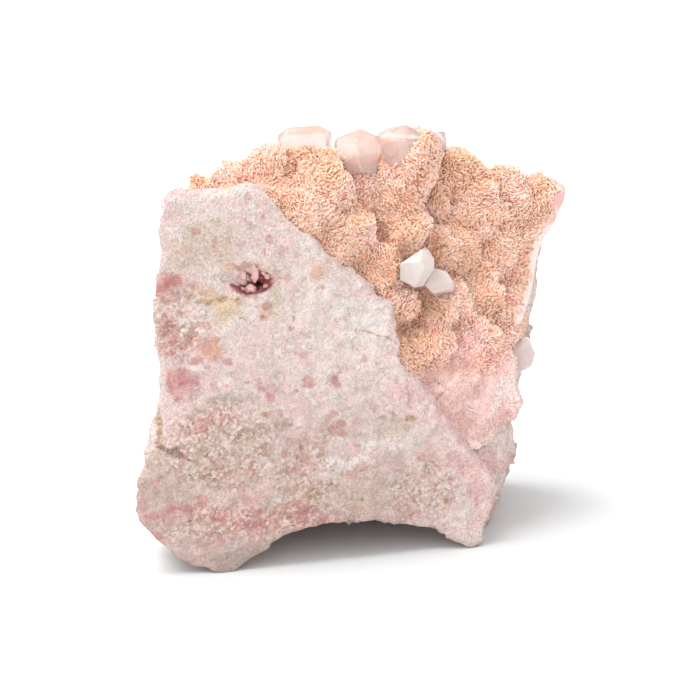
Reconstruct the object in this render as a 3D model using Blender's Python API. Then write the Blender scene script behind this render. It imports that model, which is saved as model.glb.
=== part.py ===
"""A hand specimen of rhodochrosite, about 65 mm wide.

It is a block of massive pink carbonate, broken on all sides but one. Its upper right side was the wall
of an open vein, and a druse has grown over it: a crust of round lumps set with small rhombs, on which a
few clear crystals stand. A small hollow in the broken front face is lined with pink teeth.

Shapes are worked out in millimetres, and MM turns them into metres when a mesh is written. The working
frame looks at the broken front face along +Y, with +X to the right and the resting plane at z = 0.
"""
import math

import bmesh
import bpy
import numpy as np
from mathutils import Matrix, Vector

MM = 0.001

# driving dimensions, millimetres
MIDDLE = (0.0, 3.0, 29.0)          # inside the block: every surface is cast outwards from here
FRONT_TURN, FRONT_LEAN = 16.0, 5.0  # degrees: the front face turns to the right and leans back
FRONT_AT = (-16.2, -16.0, 0.0)
DRUSE_FACES = (0.598, -0.719, 0.356)
DRUSE_AT = (3.5, -7.5, 33.5)
CRUST_BED = 3.0                    # depth of the block's rock below the surface that the druse grew to
SLAB_THICK = 2.4                   # the broken front stands as a thin wall before the druse
ARCH_RISE, ARCH_MIDDLE, ARCH_LEFT, ARCH_RIGHT = 6.4, -1.5, 15.5, 19.5
FOOT_DEPTH = 0.35                  # the feet reach this far below the floor, and are cut flat there
BULGE_AT, BULGE_SIZE = (31.0, 49.0), (7.0, 6.5)  # x and z: the rock swells at its upper right corner
DISH_AT, DISH_SIZE, DISH_DEPTH = (-30, -18, 26), (5, 9, 9), 2.9  # a shallow flake off the left front edge
CRUST_FOOT = 14.0                  # height of the druse's lower end
GAP = 0.3                          # clearance between pieces that touch
WELD = 0.01                        # corners closer than this are one, after a cut
CENTRE = (1.6, 7.2)               # middle of the whole specimen in the working frame
CAGE_CUTS = 46
BLOCK_SHARE, CRUST_SHARE = 0.11, 0.10  # share of the cage's triangles kept
RHOMBS, RHOMB_SPACING = 105, 3.9
RHOMB_SIZE, RHOMB_SINK = (2.0, 1.0, 2.5), 0.25  # width, thickness, length; and how deep its middle sits
SEED = 58

# the thin wall's upper edge, left to right: x and height
CREST = ((-40, 56.2), (-25.9, 56.2), (-22.8, 56.9), (-19.3, 56.4), (-17.5, 56.0), (-15.8, 57.2),
         (-14.2, 57.4), (-12.6, 56.0), (-11.2, 53.7), (-8.7, 50.7), (-5.1, 48.2), (-2.9, 45.4),
         (0, 43.5), (3.7, 40.3), (5.6, 38.0), (6.4, 35.5), (7.0, 30), (8, 27.3), (11.8, 24),
         (16.4, 16.8), (30, 0))

# the druse's round lumps: middle and radius
LUMPS = ((-17.3, -0.8, 54.8, 4.0), (-22.0, -2.2, 54.4, 2.6), (-12.5, -0.3, 57.2, 3.2),
         (-7.0, 3.1, 56.3, 3.6), (-4.0, -0.3, 54.6, 5.2), (3.8, 4.8, 53.8, 4.1), (10.1, 14.4, 55.0, 3.8),
         (16.2, 15.3, 52.4, 4.4), (23.7, 17.0, 49.6, 4.3), (30.2, 18.4, 49.3, 4.2),
         (28.7, 17.0, 43.6, 3.8), (19.0, 13.0, 47.0, 5.2), (12.6, 10.1, 50.3, 3.6),
         (-6.8, -6.2, 51.3, 3.6), (-0.2, -1.8, 48.0, 4.2), (7.3, 3.9, 45.7, 4.2),
         (14.9, 7.9, 43.2, 4.2), (21.9, 12.6, 41.1, 3.9), (26.4, 14.6, 38.8, 3.2),
         (4.2, -0.7, 42.3, 3.6), (7.3, -1.5, 36.8, 3.2), (14.1, 2.7, 34.0, 4.2),
         (19.5, 8.5, 36.2, 3.9), (23.7, 10.1, 33.1, 3.9), (12.5, -0.9, 29.6, 4.2),
         (18.4, 3.4, 29.1, 4.2), (24.0, 8.1, 29.5, 2.6), (22.0, 3.8, 24.3, 4.5),
         (23.6, 4.5, 20.5, 3.6), (15.4, -1.4, 25.0, 3.2), (19.7, 0.8, 20.1, 3.2),
         (10.8, 6.4, 56.6, 3.5))
EDGE_LUMPS = (26, 27, 28)          # these three hang over the block's lower right edge

# a crystal: its middle, and its faces as (degrees round from the right, degrees out of the druse, reach)
SLANT = 16.0                       # degrees: the crystals' outward axis rises from the horizontal
CRYSTALS = {
    "clear_crystal_pair": (
        ((9.9, -3.2, 42.6), ((180, 0, 2.5), (124, 0, 2.0), (90, 10, 2.8), (32, 0, 2.9), (0, 0, 2.5),
                             (-33, 5, 2.2), (-80, 0, 2.7), (-118, 0, 2.6), (200, 70, 1.9), (55, 50, 2.4),
                             (115, 45, 2.1), (-45, 52, 2.3), (0, -90, 3.6))),
        ((13.4, -2.2, 40.3), ((74, 0, 1.75), (33, 0, 1.6), (-5, 5, 2.0), (-76, 5, 1.5), (-136, 0, 2.0),
                              (150, 0, 1.8), (60, 68, 1.5), (-60, 48, 1.6), (0, -90, 3.4)))),
    "top_crystal_left": (
        ((-6.9, 5.5, 60.3), ((95, 0, 1.8), (145, 10, 3.1), (60, 5, 2.9), (0, 10, 3.6), (185, 0, 3.9),
                             (-90, 0, 3.0), (80, 55, 1.9), (30, 80, 2.0), (0, -90, 3.2))),),
    "top_crystal_twin": (
        ((1.1, 4.0, 59.0), ((112, 0, 2.7), (66, 5, 3.0), (35, 10, 3.3), (-5, 10, 3.3), (180, 5, 3.2),
                            (-150, 0, 3.4), (-90, 0, 3.6), (100, 45, 2.5), (10, 62, 2.4), (200, 65, 2.6),
                            (0, -90, 3.4))),
        ((7.4, 6.5, 59.2), ((100, 0, 2.7), (130, 8, 3.0), (65, 5, 3.1), (30, 0, 3.4), (180, 0, 3.6),
                            (-60, 0, 3.6), (-120, 0, 3.6), (110, 50, 2.5), (190, 70, 2.4),
                            (0, -90, 3.4)))),
    "top_crystal_small": (
        ((13.2, 12.6, 58.7), ((110, 0, 1.0), (40, 20, 1.1), (180, 20, 1.3), (0, 0, 1.3), (-90, 0, 1.6),
                              (60, 60, 0.9), (0, -90, 1.6))),),
    "edge_crystal": (
        ((26.0, 7.6, 26.4), ((-15, 0, 2.1), (25, 5, 2.1), (75, 5, 2.6), (120, 10, 2.6), (185, 0, 2.2),
                             (-60, 5, 2.4), (-95, 0, 2.5), (95, 50, 2.1), (0, 60, 2.0), (-90, 70, 1.9),
                             (0, -90, 3.4))),),
}

# the hollow in the front face, and the teeth on its lining: foot and tip from its middle, and width
HOLLOW_AT = (-14.5, -10.8, 42.6)
HOLLOW_SIZE = (2.9, 2.6, 1.6)
HOLLOW_WALL = 0.5
TEETH = (((-0.8, 0.2, 0.9), (-0.75, -0.3, 0.1), 1.2), ((0.95, 0.2, 0.9), (1.0, -0.4, -0.3), 1.4),
         ((0.4, 0.2, -0.9), (0.3, -0.2, -0.2), 1.3), ((-1.9, 0.3, 0.5), (-1.5, 0.0, -0.1), 0.8),
         ((1.9, 0.5, -0.4), (1.5, 0.2, 0.2), 0.8))
# small pits in the front face: x, z, width
PITS = ((-2.2, 27.4, 2.1), (-18.4, 31.7, 1.6), (17.4, 12.6, 3.2), (9.5, 8.3, 1.7), (-25.0, 17.5, 3.0))

COLOURS = {"pale_pink_rock": (0.80, 0.62, 0.60), "peach_druse": (0.82, 0.60, 0.46),
           "clear_crystal": (0.90, 0.82, 0.80), "rose_teeth": (0.72, 0.33, 0.33)}


# ---- noise -------------------------------------------------------------------------------------------
def lattice(ix, iy, iz, seed):
    """A fixed random number from -1 to 1 for each whole-numbered point."""
    h = (ix * 374761393 + iy * 668265263 + iz * 1440662683 + seed * 974634777) & 0xffffffff
    h = ((h ^ (h >> 13)) * 1274126177) & 0xffffffff
    h = ((h ^ (h >> 15)) * 668265263) & 0xffffffff
    return (h ^ (h >> 16)) / 2.0**31 - 1.0


def noise(points, size, seed):
    """Smooth noise from -1 to 1, with swells about size millimetres across."""
    q = points / size
    corner = np.floor(q).astype(np.int64)
    t = q - corner
    t = t * t * t * (t * (t * 6 - 15) + 10)
    out = np.zeros(len(points))
    for step in np.ndindex(2, 2, 2):
        weight = np.prod(np.where(np.array(step) == 1, t, 1 - t), axis=1)
        out += weight * lattice(*(corner + step).T, seed)
    return out


def cells(points, size, seed):
    """The nearest of one random centre per cube: distance in cubes, offset in mm, three random numbers."""
    q = points / size
    cube = np.floor(q).astype(np.int64)
    nearest = np.full(len(points), 9.0)
    offset = np.zeros_like(points)
    draws = np.zeros_like(points)
    for step in np.ndindex(3, 3, 3):
        at = cube + step - np.array([1, 1, 1])
        draw = np.stack([lattice(*at.T, seed + k) for k in range(3)], -1)
        away = q - (at + 0.5 + 0.45 * draw)
        distance = np.linalg.norm(away, axis=1)
        near = distance < nearest
        nearest[near] = distance[near]
        offset[near] = away[near]
        draws[near] = draw[near]
    return nearest, offset * size, np.sin(draws * 91.7 + np.arange(3))


def facets(points, size, seed, tilt, step):
    """Broken grains: each has a flat face of its own tilt, at a level of its own."""
    _, offset, draws = cells(points, size, seed)
    return tilt * (offset * draws).sum(1) + step * draws[:, 0]


# ---- surfaces, as functions that are negative inside -------------------------------------------------
def smooth_max(values, radius):
    """The greatest of several surfaces' values, with the edges where they meet rounded."""
    stack = np.stack(values)
    top = stack.max(0)
    return top + radius * np.log(np.exp((stack - top) / radius).sum(0))


def smooth_min(values, radius):
    return -smooth_max([-v for v in values], radius)


def plane(points, normal, at):
    """Signed distance to the plane through at."""
    n = np.array(normal, float)
    return (points - np.array(at, float)) @ (n / np.linalg.norm(n))


def warp(points):
    """Points moved by a slow noise, so that no break is a true plane."""
    return points + 0.9 * np.stack([noise(points, 9, k) for k in (1, 2, 3)], -1)


def front_break(w):
    """The broken front face."""
    turn, lean = math.radians(FRONT_TURN), math.radians(FRONT_LEAN)
    normal = (math.sin(turn) * math.cos(lean), -math.cos(turn) * math.cos(lean), math.sin(lean))
    return plane(w, normal, FRONT_AT)


def corner_bulge(w, height):
    """A swelling of the rock at the upper right corner, height millimetres high in its middle."""
    away = (w[:, [0, 2]] - np.array(BULGE_AT)) / np.array(BULGE_SIZE)
    return height * np.exp(-(away**2).sum(1))


def vein_wall(w):
    """The surface that the druse grew to: a steep face, and a top that falls to the back and the ends."""
    return smooth_max([plane(w, DRUSE_FACES, DRUSE_AT) - corner_bulge(w, 4.0),
                       plane(w, (0.02, 0.10, 1.0), (0, 2, 58.4)),
                       plane(w, (-0.34, 0.15, 0.92), (-16, -4, 55.6)),
                       plane(w, (0.24, 0.06, 0.96), (14, 14, 56.4))], 1.4)


def side_breaks(w, inset):
    """The left side, the right side and the back."""
    return [plane(w, (-0.98, 0.14, 0.065), (-30.1, -15, 20)) + inset,
            plane(w, (-0.96, 0.14, 0.22), (-29.7, -15, 42)) + inset,
            plane(w, (0.98, -0.12, -0.17), (27.8, 6, 36)) - corner_bulge(w, 2.6) + inset,
            plane(w, (0.12, 0.97, 0.12), (0, 26.5, 25)) + inset,
            plane(w, (-0.62, 0.78, 0.1), (-22.5, 22, 30)) + inset,
            plane(w, (0.75, 0.64, -0.10), (33.5, 24, 30)) + inset]


def underside(points):
    """The rough foot, arched between two feet and lifted at the far left."""
    x, y, z = points.T
    along = (x - ARCH_MIDDLE) / np.where(x < ARCH_MIDDLE, ARCH_LEFT, ARCH_RIGHT)
    to_back = np.clip((y - 8) / 18, 0, 1)
    arch = ARCH_RISE * np.clip(1 - along * along, 0, 1) * (1 - 0.75 * to_back * to_back * (3 - 2 * to_back))
    lifted_left = np.clip((-x - 18.5) * 0.36, 0, 9)
    return arch + lifted_left + 0.6 * noise(points, 8, 31) - FOOT_DEPTH - z


def block(points):
    """The block: its breaks, the bed of the druse, and the thin wall of the front face before it."""
    x, _, z = points.T
    w = warp(points)
    front = front_break(w)
    low_breaks = [plane(w, (-0.72, -0.10, -0.70), (-29.0, -18.7, 5.8)),
                  plane(w, (0.10, 0.75, -0.66), (0, 27.5, 4)),
                  plane(w, (0.84, -0.545, -0.02), (20.0, -8.0, 4)),
                  plane(w, (0.97, -0.12, -0.145), (22.2, 0, 4))]
    body = smooth_max(side_breaks(w, 0) + low_breaks + [underside(points)], 0.5)
    core = smooth_max([body, front, vein_wall(points) + CRUST_BED], 0.35)
    crest = np.interp(x, *np.transpose(CREST))
    sloping_top = 0.8 * (z - crest) + 0.5 * (front + SLAB_THICK / 2)
    wall = smooth_max([body, front, -(front + SLAB_THICK), sloping_top], 0.3)
    from_dish = (points - np.array(DISH_AT)) / np.array(DISH_SIZE)
    return np.minimum(core, wall) + DISH_DEPTH * np.exp(-(from_dish**2).sum(1))


def crust(points):
    """The druse: a bed over the vein wall with lumps on it. Below the bed it narrows, to stay inside."""
    w = warp(points)
    wall = vein_wall(w)
    front = front_break(w) + 0.8
    lumps = np.array(LUMPS)
    balls = (np.linalg.norm(points[:, None] - lumps[:, :3], axis=2) - lumps[:, 3]).T
    knobs = 0.8 * np.clip(1 - (cells(points, 4.0, 21)[0] / 0.75)**2, 0, 1)
    surface = smooth_min([wall + 0.9, *balls], 0.35) - knobs
    sides = smooth_max(side_breaks(w, 0.4) + [CRUST_FOOT - points[:, 2]], 0.5)
    sides += 0.5 * np.clip(-wall - 2.6, 0, 12)
    edge_foot = CRUST_FOOT + 1 - points[:, 2]
    over_edge = smooth_min([smooth_max([balls[k], edge_foot], 0.4) for k in EDGE_LUMPS], 0.4)
    return smooth_min([smooth_max([sides, front, surface], 0.3), smooth_max([over_edge, front], 0.3)], 0.3)


def cast(surface, directions, far=60.0, steps=60, halvings=18):
    """The outermost point of a surface on each line from the block's middle, found by halving."""
    near = np.zeros(len(directions))
    for reach in np.linspace(far / steps, far, steps):
        near = np.where(surface(MIDDLE + directions * reach) < 0, reach, near)
    off = near + far / steps
    for _ in range(halvings):
        half = (near + off) / 2
        inside = surface(MIDDLE + directions * half[:, None]) < 0
        near, off = np.where(inside, half, near), np.where(inside, off, half)
    return MIDDLE + directions * half[:, None]


# ---- making objects ----------------------------------------------------------------------------------
def start_scene():
    """Empties the scene and makes one collection for the specimen and one for its cutters."""
    for old in list(bpy.data.objects):
        bpy.data.objects.remove(old)
    made = []
    for name in ("rhodochrosite_specimen", "cutters"):
        made.append(bpy.data.collections.new(name))
        bpy.context.scene.collection.children.link(made[-1])
    return made


def material(name, roughness):
    """A Principled material of one of the specimen's colours."""
    new = bpy.data.materials.new(name)
    new.use_nodes = True
    shader = new.node_tree.nodes["Principled BSDF"]
    shader.inputs["Base Color"].default_value = (*COLOURS[name], 1)
    shader.inputs["Roughness"].default_value = roughness
    shader.inputs["Metallic"].default_value = 0.0
    return new


def add_object(name, bm, collection):
    """Writes a bmesh in millimetres to a new object in metres, and frees it."""
    bmesh.ops.recalc_face_normals(bm, faces=bm.faces)
    mesh = bpy.data.meshes.new(name)
    bm.to_mesh(mesh)
    bm.free()
    mesh.transform(Matrix.Translation((-CENTRE[0] * MM, -CENTRE[1] * MM, 0)) @ Matrix.Scale(MM, 4))
    obj = bpy.data.objects.new(name, mesh)
    collection.objects.link(obj)
    if collection is CUTTERS:
        obj.hide_render = True
        obj.display_type = "WIRE"
    return obj


def modified(obj, kind, **settings):
    """Adds one modifier and makes its result the object's mesh."""
    modifier = obj.modifiers.new(kind.lower(), kind)
    for key, value in settings.items():
        setattr(modifier, key, value)
    mesh = bpy.data.meshes.new_from_object(obj.evaluated_get(bpy.context.evaluated_depsgraph_get()))
    obj.modifiers.clear()
    obj.data = mesh
    return obj


def combined(obj, other, operation):
    """A Boolean of two objects; the result keeps only its largest piece, without slivers."""
    modified(obj, "BOOLEAN", object=other, operation=operation, solver="EXACT")
    bm = bmesh.new()
    bm.from_mesh(obj.data)
    bmesh.ops.remove_doubles(bm, verts=bm.verts, dist=WELD * MM)
    bmesh.ops.dissolve_degenerate(bm, edges=bm.edges, dist=WELD * MM / 2)
    bmesh.ops.triangulate(bm, faces=bm.faces)
    islands = find_islands(bm)
    for island in sorted(islands, key=len)[:-1]:
        bmesh.ops.delete(bm, geom=island, context="FACES")
    bmesh.ops.delete(bm, geom=[v for v in bm.verts if not v.link_faces], context="VERTS")
    bm.to_mesh(obj.data)
    bm.free()
    return obj


def find_islands(bm):
    """The faces of a bmesh, grouped by what hangs together."""
    islands = []
    left = set(bm.faces)
    while left:
        grown = [left.pop()]
        for face in grown:
            for edge in face.edges:
                fresh = [f for f in edge.link_faces if f in left]
                left.difference_update(fresh)
                grown.extend(fresh)
        islands.append(grown)
    return islands


def cast_cage(surface):
    """A subdivided cube with each vertex cast to a surface, in millimetres."""
    bm = bmesh.new()
    bmesh.ops.create_cube(bm, size=2)
    bmesh.ops.subdivide_edges(bm, edges=bm.edges, cuts=CAGE_CUTS, use_grid_fill=True)
    rays = np.array([v.co for v in bm.verts]) * (30, 24, 30)
    for vertex, at in zip(bm.verts, cast(surface, rays / np.linalg.norm(rays, axis=1)[:, None])):
        vertex.co = at
    bm.normal_update()
    return bm


def roughen(bm):
    """Moves the block's vertices along their normals: small grains in front, bolder breaks elsewhere, and
    nothing on the bed that the druse hides."""
    points = np.array([v.co for v in bm.verts])
    normals = np.array([v.normal for v in bm.verts])
    away_from_front = np.clip(0.5 + normals[:, 1], 0, 1)
    relief = facets(points, 7.0, 11, 0.05, 0.10) + facets(points, 2.8, 15, 0.10, 0.05)
    relief += away_from_front * facets(points, 13.0, 19, 0.13, 0.45)
    relief[vein_wall(points) + CRUST_BED > -0.4] = 0
    for vertex, height in zip(bm.verts, relief):
        vertex.co += vertex.normal * float(height)


def cut_crystal(faces, middle, spare=0.0):
    """A cube cut down to flat faces; spare moves every face outwards."""
    slant = math.radians(SLANT)
    right = Vector((1, 0, 0))
    up = Vector((0, math.sin(slant), math.cos(slant)))
    out = Vector((0, -math.cos(slant), math.sin(slant)))
    bm = bmesh.new()
    bmesh.ops.create_cube(bm, size=16)
    for around, outwards, reach in faces:
        a, b = math.radians(around), math.radians(outwards)
        normal = (right * math.cos(a) + up * math.sin(a)) * math.cos(b) + out * math.sin(b)
        bmesh.ops.bisect_plane(bm, geom=bm.verts[:] + bm.edges[:] + bm.faces[:], clear_outer=True,
                               plane_co=normal * (reach + spare), plane_no=normal)
        bmesh.ops.holes_fill(bm, edges=[e for e in bm.edges if e.is_boundary])
    bmesh.ops.translate(bm, verts=bm.verts, vec=middle)
    return bm


def make_crystals(name, parts, finish):
    """One node of crystals that grew together, and the socket that it fills in the druse."""
    solids = []
    for collection, spare in ((SPECIMEN, 0.0), (CUTTERS, GAP)):
        title = name if spare == 0 else name + "_socket"
        whole = None
        for middle, faces in parts:
            one = add_object(title, cut_crystal(faces, middle, spare), collection)
            if whole is None:
                whole = one
            else:
                combined(whole, one, "UNION")
                bpy.data.objects.remove(one)
        solids.append(whole)
    solids[0].data.materials.clear()
    solids[0].data.materials.append(finish)
    return solids


def ball(middle, size, subdivisions, roughness=0.0):
    """An icosphere stretched to a size, with uneven radii."""
    bm = bmesh.new()
    bmesh.ops.create_icosphere(bm, subdivisions=subdivisions, radius=1)
    for vertex in bm.verts:
        at = np.array([vertex.co])
        uneven = 1 + roughness * float(noise(at * 3 + middle, 1.3, 41)[0])
        vertex.co = Vector(vertex.co) * Vector(size) * uneven
    bmesh.ops.translate(bm, verts=bm.verts, vec=middle)
    return bm


def rhombs_on(druse):
    """Small rhombs standing on the druse, at spaced corners of its mesh, each nearly upright."""
    rng = np.random.default_rng(SEED)
    points = np.array([v.co for v in druse.data.vertices]) / MM + (*CENTRE, 0)
    normals = np.array([v.normal for v in druse.data.vertices])
    w = warp(points)
    grown = (vein_wall(w) > -1.5) & (front_break(w) < -1.6) & (points[:, 2] > 17)
    grown &= smooth_max(side_breaks(w, 0), 0.5) < -1.8
    bm = bmesh.new()
    taken = np.empty((0, 3))
    for k in rng.permutation(np.flatnonzero(grown)):
        if len(taken) == RHOMBS:
            break
        if len(taken) and np.linalg.norm(taken - points[k], axis=1).min() < RHOMB_SPACING:
            continue
        taken = np.vstack([taken, points[k]])
        foot = points[k] - RHOMB_SINK * normals[k]
        upright = Vector(normals[k] + rng.normal(0, 0.25, 3)).normalized()
        turn = upright.to_track_quat("Z", "Y").to_matrix().to_4x4()
        spin = Matrix.Rotation(rng.uniform(0, math.pi), 4, "Z")
        shear = Matrix.Shear("XY", 4, (0.45, 0.15))
        size = Matrix.Diagonal((*(np.array(RHOMB_SIZE) * rng.uniform(0.8, 1.15)), 1))
        bmesh.ops.create_cube(bm, size=1, matrix=Matrix.Translation(foot) @ turn @ spin @ shear @ size)
    return add_object("rhombs", bm, CUTTERS)


def swollen(obj, distance):
    """A copy of an object with its surface moved outwards, for cutting its neighbour."""
    bm = bmesh.new()
    bm.from_mesh(obj.data)
    for vertex, normal in [(v, v.normal.copy()) for v in bm.verts]:
        vertex.co += normal * distance * MM
    mesh = bpy.data.meshes.new(obj.name + "_swollen")
    bm.to_mesh(mesh)
    bm.free()
    copy = bpy.data.objects.new(mesh.name, mesh)
    CUTTERS.objects.link(copy)
    copy.hide_render = True
    copy.display_type = "WIRE"
    return copy


# ---- the specimen ------------------------------------------------------------------------------------
def make_block(finish, sockets):
    """The block, flat under its feet, with the hollow and the pits cut into its front and room for the
    crystals' roots; and its bed, which cuts the druse."""
    cage = cast_cage(block)
    roughen(cage)
    obj = add_object("rhodochrosite_mass", cage, SPECIMEN)
    modified(obj, "DECIMATE", ratio=BLOCK_SHARE)
    bed = swollen(obj, GAP)
    floor = bmesh.new()
    bmesh.ops.create_cube(floor, size=200, matrix=Matrix.Translation((0, 0, -100)))
    cutters = [add_object("floor", floor, CUTTERS),
               add_object("hollow", ball(HOLLOW_AT, HOLLOW_SIZE, 2, 0.12), CUTTERS)]
    for x, z, width in PITS:
        y = front_at(x, z)
        size = (width / 2, width / 2, width / 2.6)
        cutters.append(add_object("pit", ball((x, y, z), size, 1, 0.2), CUTTERS))
    for cutter in cutters + sockets:
        combined(obj, cutter, "DIFFERENCE")
    obj.data.materials.clear()
    obj.data.materials.append(finish)
    return bed


def front_at(x, z):
    """Where the front face lies at one x and z."""
    ys = np.linspace(-30, 0, 301)
    column = np.stack([np.full(301, x), ys, np.full(301, z)], -1)
    return float(ys[np.argmax(block(column) < 0)])


def make_crust(finish, cutters):
    """The druse: lumps and rhombs in one solid, with the block and the clear crystals cut out of it."""
    obj = add_object("drusy_crust", cast_cage(crust), SPECIMEN)
    modified(obj, "DECIMATE", ratio=CRUST_SHARE)
    combined(obj, rhombs_on(obj), "UNION")
    for cutter in cutters:
        combined(obj, cutter, "DIFFERENCE")
    obj.data.materials.clear()
    obj.data.materials.append(finish)
    return obj


def make_hollow_lining(finish):
    """A thin bowl that lines the hollow, with teeth standing on it."""
    outer = np.array(HOLLOW_SIZE) - 2 * GAP
    obj = add_object("vug_crystals", ball(HOLLOW_AT, outer, 1), SPECIMEN)
    space = ball(Vector(HOLLOW_AT) + Vector((0, -1.4, 0)), outer - HOLLOW_WALL + (0, 1.2, 0), 1)
    inner = add_object("vug_space", space, CUTTERS)
    combined(obj, inner, "DIFFERENCE")
    for foot, tip, width in TEETH:
        along = Vector(tip) - Vector(foot)
        place = Matrix.Translation(Vector(HOLLOW_AT) + (Vector(foot) + Vector(tip)) / 2)
        turn = along.to_track_quat("Z", "Y").to_matrix().to_4x4()
        bm = bmesh.new()
        bmesh.ops.create_cone(bm, cap_ends=True, segments=4, radius1=width / 2, radius2=width / 9,
                              depth=along.length, matrix=place @ turn)
        combined(obj, add_object("tooth", bm, CUTTERS), "UNION")
    obj.data.materials.clear()
    obj.data.materials.append(finish)
    return obj


SPECIMEN, CUTTERS = start_scene()
ROCK, DRUSE = material("pale_pink_rock", 0.8), material("peach_druse", 0.65)
CLEAR, ROSE = material("clear_crystal", 0.15), material("rose_teeth", 0.4)
SOCKETS = [make_crystals(name, parts, CLEAR)[1] for name, parts in CRYSTALS.items()]
BED = make_block(ROCK, SOCKETS)
make_crust(DRUSE, [BED] + SOCKETS)
make_hollow_lining(ROSE)
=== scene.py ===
"""A hand specimen of rhodochrosite as it looks: the chalky broken rock, the druse with its blades, the
clear crystals that stand on it, and the small hollow lined with teeth.

Shapes are worked out in millimetres, in the working frame of the solids: the broken front face is looked
at along +Y, +X is to the right and the resting plane is z = 0.
"""

import math

import bpy
import numpy as np
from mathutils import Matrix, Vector


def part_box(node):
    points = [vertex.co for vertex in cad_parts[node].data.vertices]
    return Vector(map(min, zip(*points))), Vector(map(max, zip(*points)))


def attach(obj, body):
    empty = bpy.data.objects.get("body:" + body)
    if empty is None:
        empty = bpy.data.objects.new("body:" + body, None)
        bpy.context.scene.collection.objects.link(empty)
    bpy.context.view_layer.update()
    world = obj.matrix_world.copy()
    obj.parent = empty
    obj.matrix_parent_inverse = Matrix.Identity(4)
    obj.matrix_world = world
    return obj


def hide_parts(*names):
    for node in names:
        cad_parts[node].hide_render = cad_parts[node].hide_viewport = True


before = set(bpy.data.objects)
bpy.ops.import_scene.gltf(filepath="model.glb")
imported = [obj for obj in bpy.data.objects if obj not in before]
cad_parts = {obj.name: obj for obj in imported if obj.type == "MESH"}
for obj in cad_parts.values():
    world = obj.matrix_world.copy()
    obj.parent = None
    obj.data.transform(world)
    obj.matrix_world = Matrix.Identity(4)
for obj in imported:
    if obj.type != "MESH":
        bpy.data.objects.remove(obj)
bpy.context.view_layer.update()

# ============================================================
# The massive rock: one block of pale pink carbonate, broken on the front, the sides, the back and below.
# It is worked out as a surface that is negative inside, found by halving along lines from its middle,
# then roughened: chalky and finely streaked in front, in bolder broken steps elsewhere.
# ============================================================
MM = 0.001
SHIFT = np.array((1.6, 7.2, 0.0))    # middle of the whole specimen in the working frame
MIDDLE = np.array((0.0, 3.0, 29.0))  # where the lines start
FRONT_TURN, FRONT_LEAN = 16.0, 5.0   # degrees
FRONT_AT = (-16.2, -16.0, 0.0)
CRUST_BED, SLAB_THICK = 3.0, 2.4     # depth of the druse's bed, and the thin wall before it
# planes of the block: the way that each faces, a point on it, and its share of the corner's swelling
VEIN_PLANES = (((0.598, -0.719, 0.356), (3.5, -7.5, 33.5), 4.0), ((0.02, 0.10, 1.0), (0, 2, 58.4), 0),
               ((-0.34, 0.15, 0.92), (-16, -4, 55.6), 0), ((0.24, 0.06, 0.96), (14, 14, 56.4), 0))
SIDE_PLANES = (((-0.98, 0.14, 0.065), (-30.1, -15, 20), 0), ((-0.96, 0.14, 0.22), (-29.7, -15, 42), 0),
               ((0.98, -0.12, -0.17), (27.8, 6, 36), 2.6), ((0.12, 0.97, 0.12), (0, 26.5, 25), 0),
               ((-0.62, 0.78, 0.1), (-22.5, 22, 30), 0), ((0.75, 0.64, -0.10), (33.5, 24, 30), 0))
LOW_PLANES = (((-0.72, -0.10, -0.70), (-29.0, -18.7, 5.8), 0), ((0.10, 0.75, -0.66), (0, 27.5, 4), 0),
              ((0.84, -0.545, -0.02), (20.0, -8.0, 4), 0), ((0.97, -0.12, -0.145), (22.2, 0, 4), 0))
VEIN_EDGE, BODY_EDGE, CORE_EDGE, WALL_EDGE = 1.4, 0.5, 0.35, 0.3  # how far edges are rounded
BULGE_AT, BULGE_SIZE = (31.0, 49.0), (7.0, 6.5)
ARCH_RISE, ARCH_MIDDLE, ARCH_LEFT, ARCH_RIGHT = 6.4, -1.5, 15.5, 19.5
ARCH_BACK, ARCH_FADES, ARCH_LOSS = 8, 18, 0.75  # behind this the arch is lower, over this length
LIFT_FROM, LIFT_SLOPE = 18.5, 0.36              # the underside rises at the far left
FOOT_DEPTH, FOOT_ROUGH = 0.35, 0.6
DISH_AT, DISH_SIZE, DISH_DEPTH = (-30, -18, 26), (5, 9, 9), 2.9  # a shallow loss on the left side
HOLLOW_AT = np.array((-14.5, -10.8, 42.6))
HOLLOW_SIZE = np.array((2.9, 2.6, 1.6))
ROCK_REACH = ((-30, 28), (-16, 23), (-29, 30))  # the cage that the lines run through, from the middle
ROCK_CELLS = (165, 64, 165)
LOW_DRUSE = 28.0  # below this height the druse is small, pale pink and granular, and the rock beside it too
STROKE_RISE = math.radians(18)  # the front face's fine strokes rise to the right by this
CHALK = ((0.18, 5.0, 61), (0.17, 2.4, 62), (0.12, 1.2, 63), (0.09, 0.75, 64))  # height, size, seed
GRAIN_FACES = ((7.0, 11, 0.04, 0.04), (2.8, 15, 0.08, 0.05))                   # size, seed, tilt, step
STROKE_HEIGHT, GRAIN_SINK, BRUISE_RISE = 0.09, 0.10, 0.22
FRONT_SKIN = 1.2     # this far behind the front break still counts as the front face
HOLLOW_SPARED = 1.6  # nearer to the hollow than this, in its own size, the grid stays as it is
HOLLOW_SHADE_DEEP, HOLLOW_SHADE_RIM, HOLLOW_SHADE_BEHIND = 1.42, 1.16, 0.15  # where its deep red painted shade ends, inside and in front
BOLD_FACES = ((13.0, 19, 0.08, 0.3), (4.6, 23, 0.12, 0.14), (1.7, 27, 0.16, 0.07))

# the thin wall's upper edge, left to right: x and height
CREST = ((-40, 56.2), (-25.9, 56.2), (-22.8, 56.9), (-19.3, 56.4), (-17.5, 56.0), (-15.8, 57.2),
         (-14.2, 57.4), (-12.6, 56.0), (-11.2, 53.7), (-8.7, 50.7), (-5.1, 48.2), (-2.9, 45.4),
         (0, 43.5), (3.7, 40.3), (5.6, 38.0), (6.4, 35.5), (7.0, 30), (8, 27.3), (11.8, 24),
         (16.4, 16.8), (30, 0))

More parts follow.
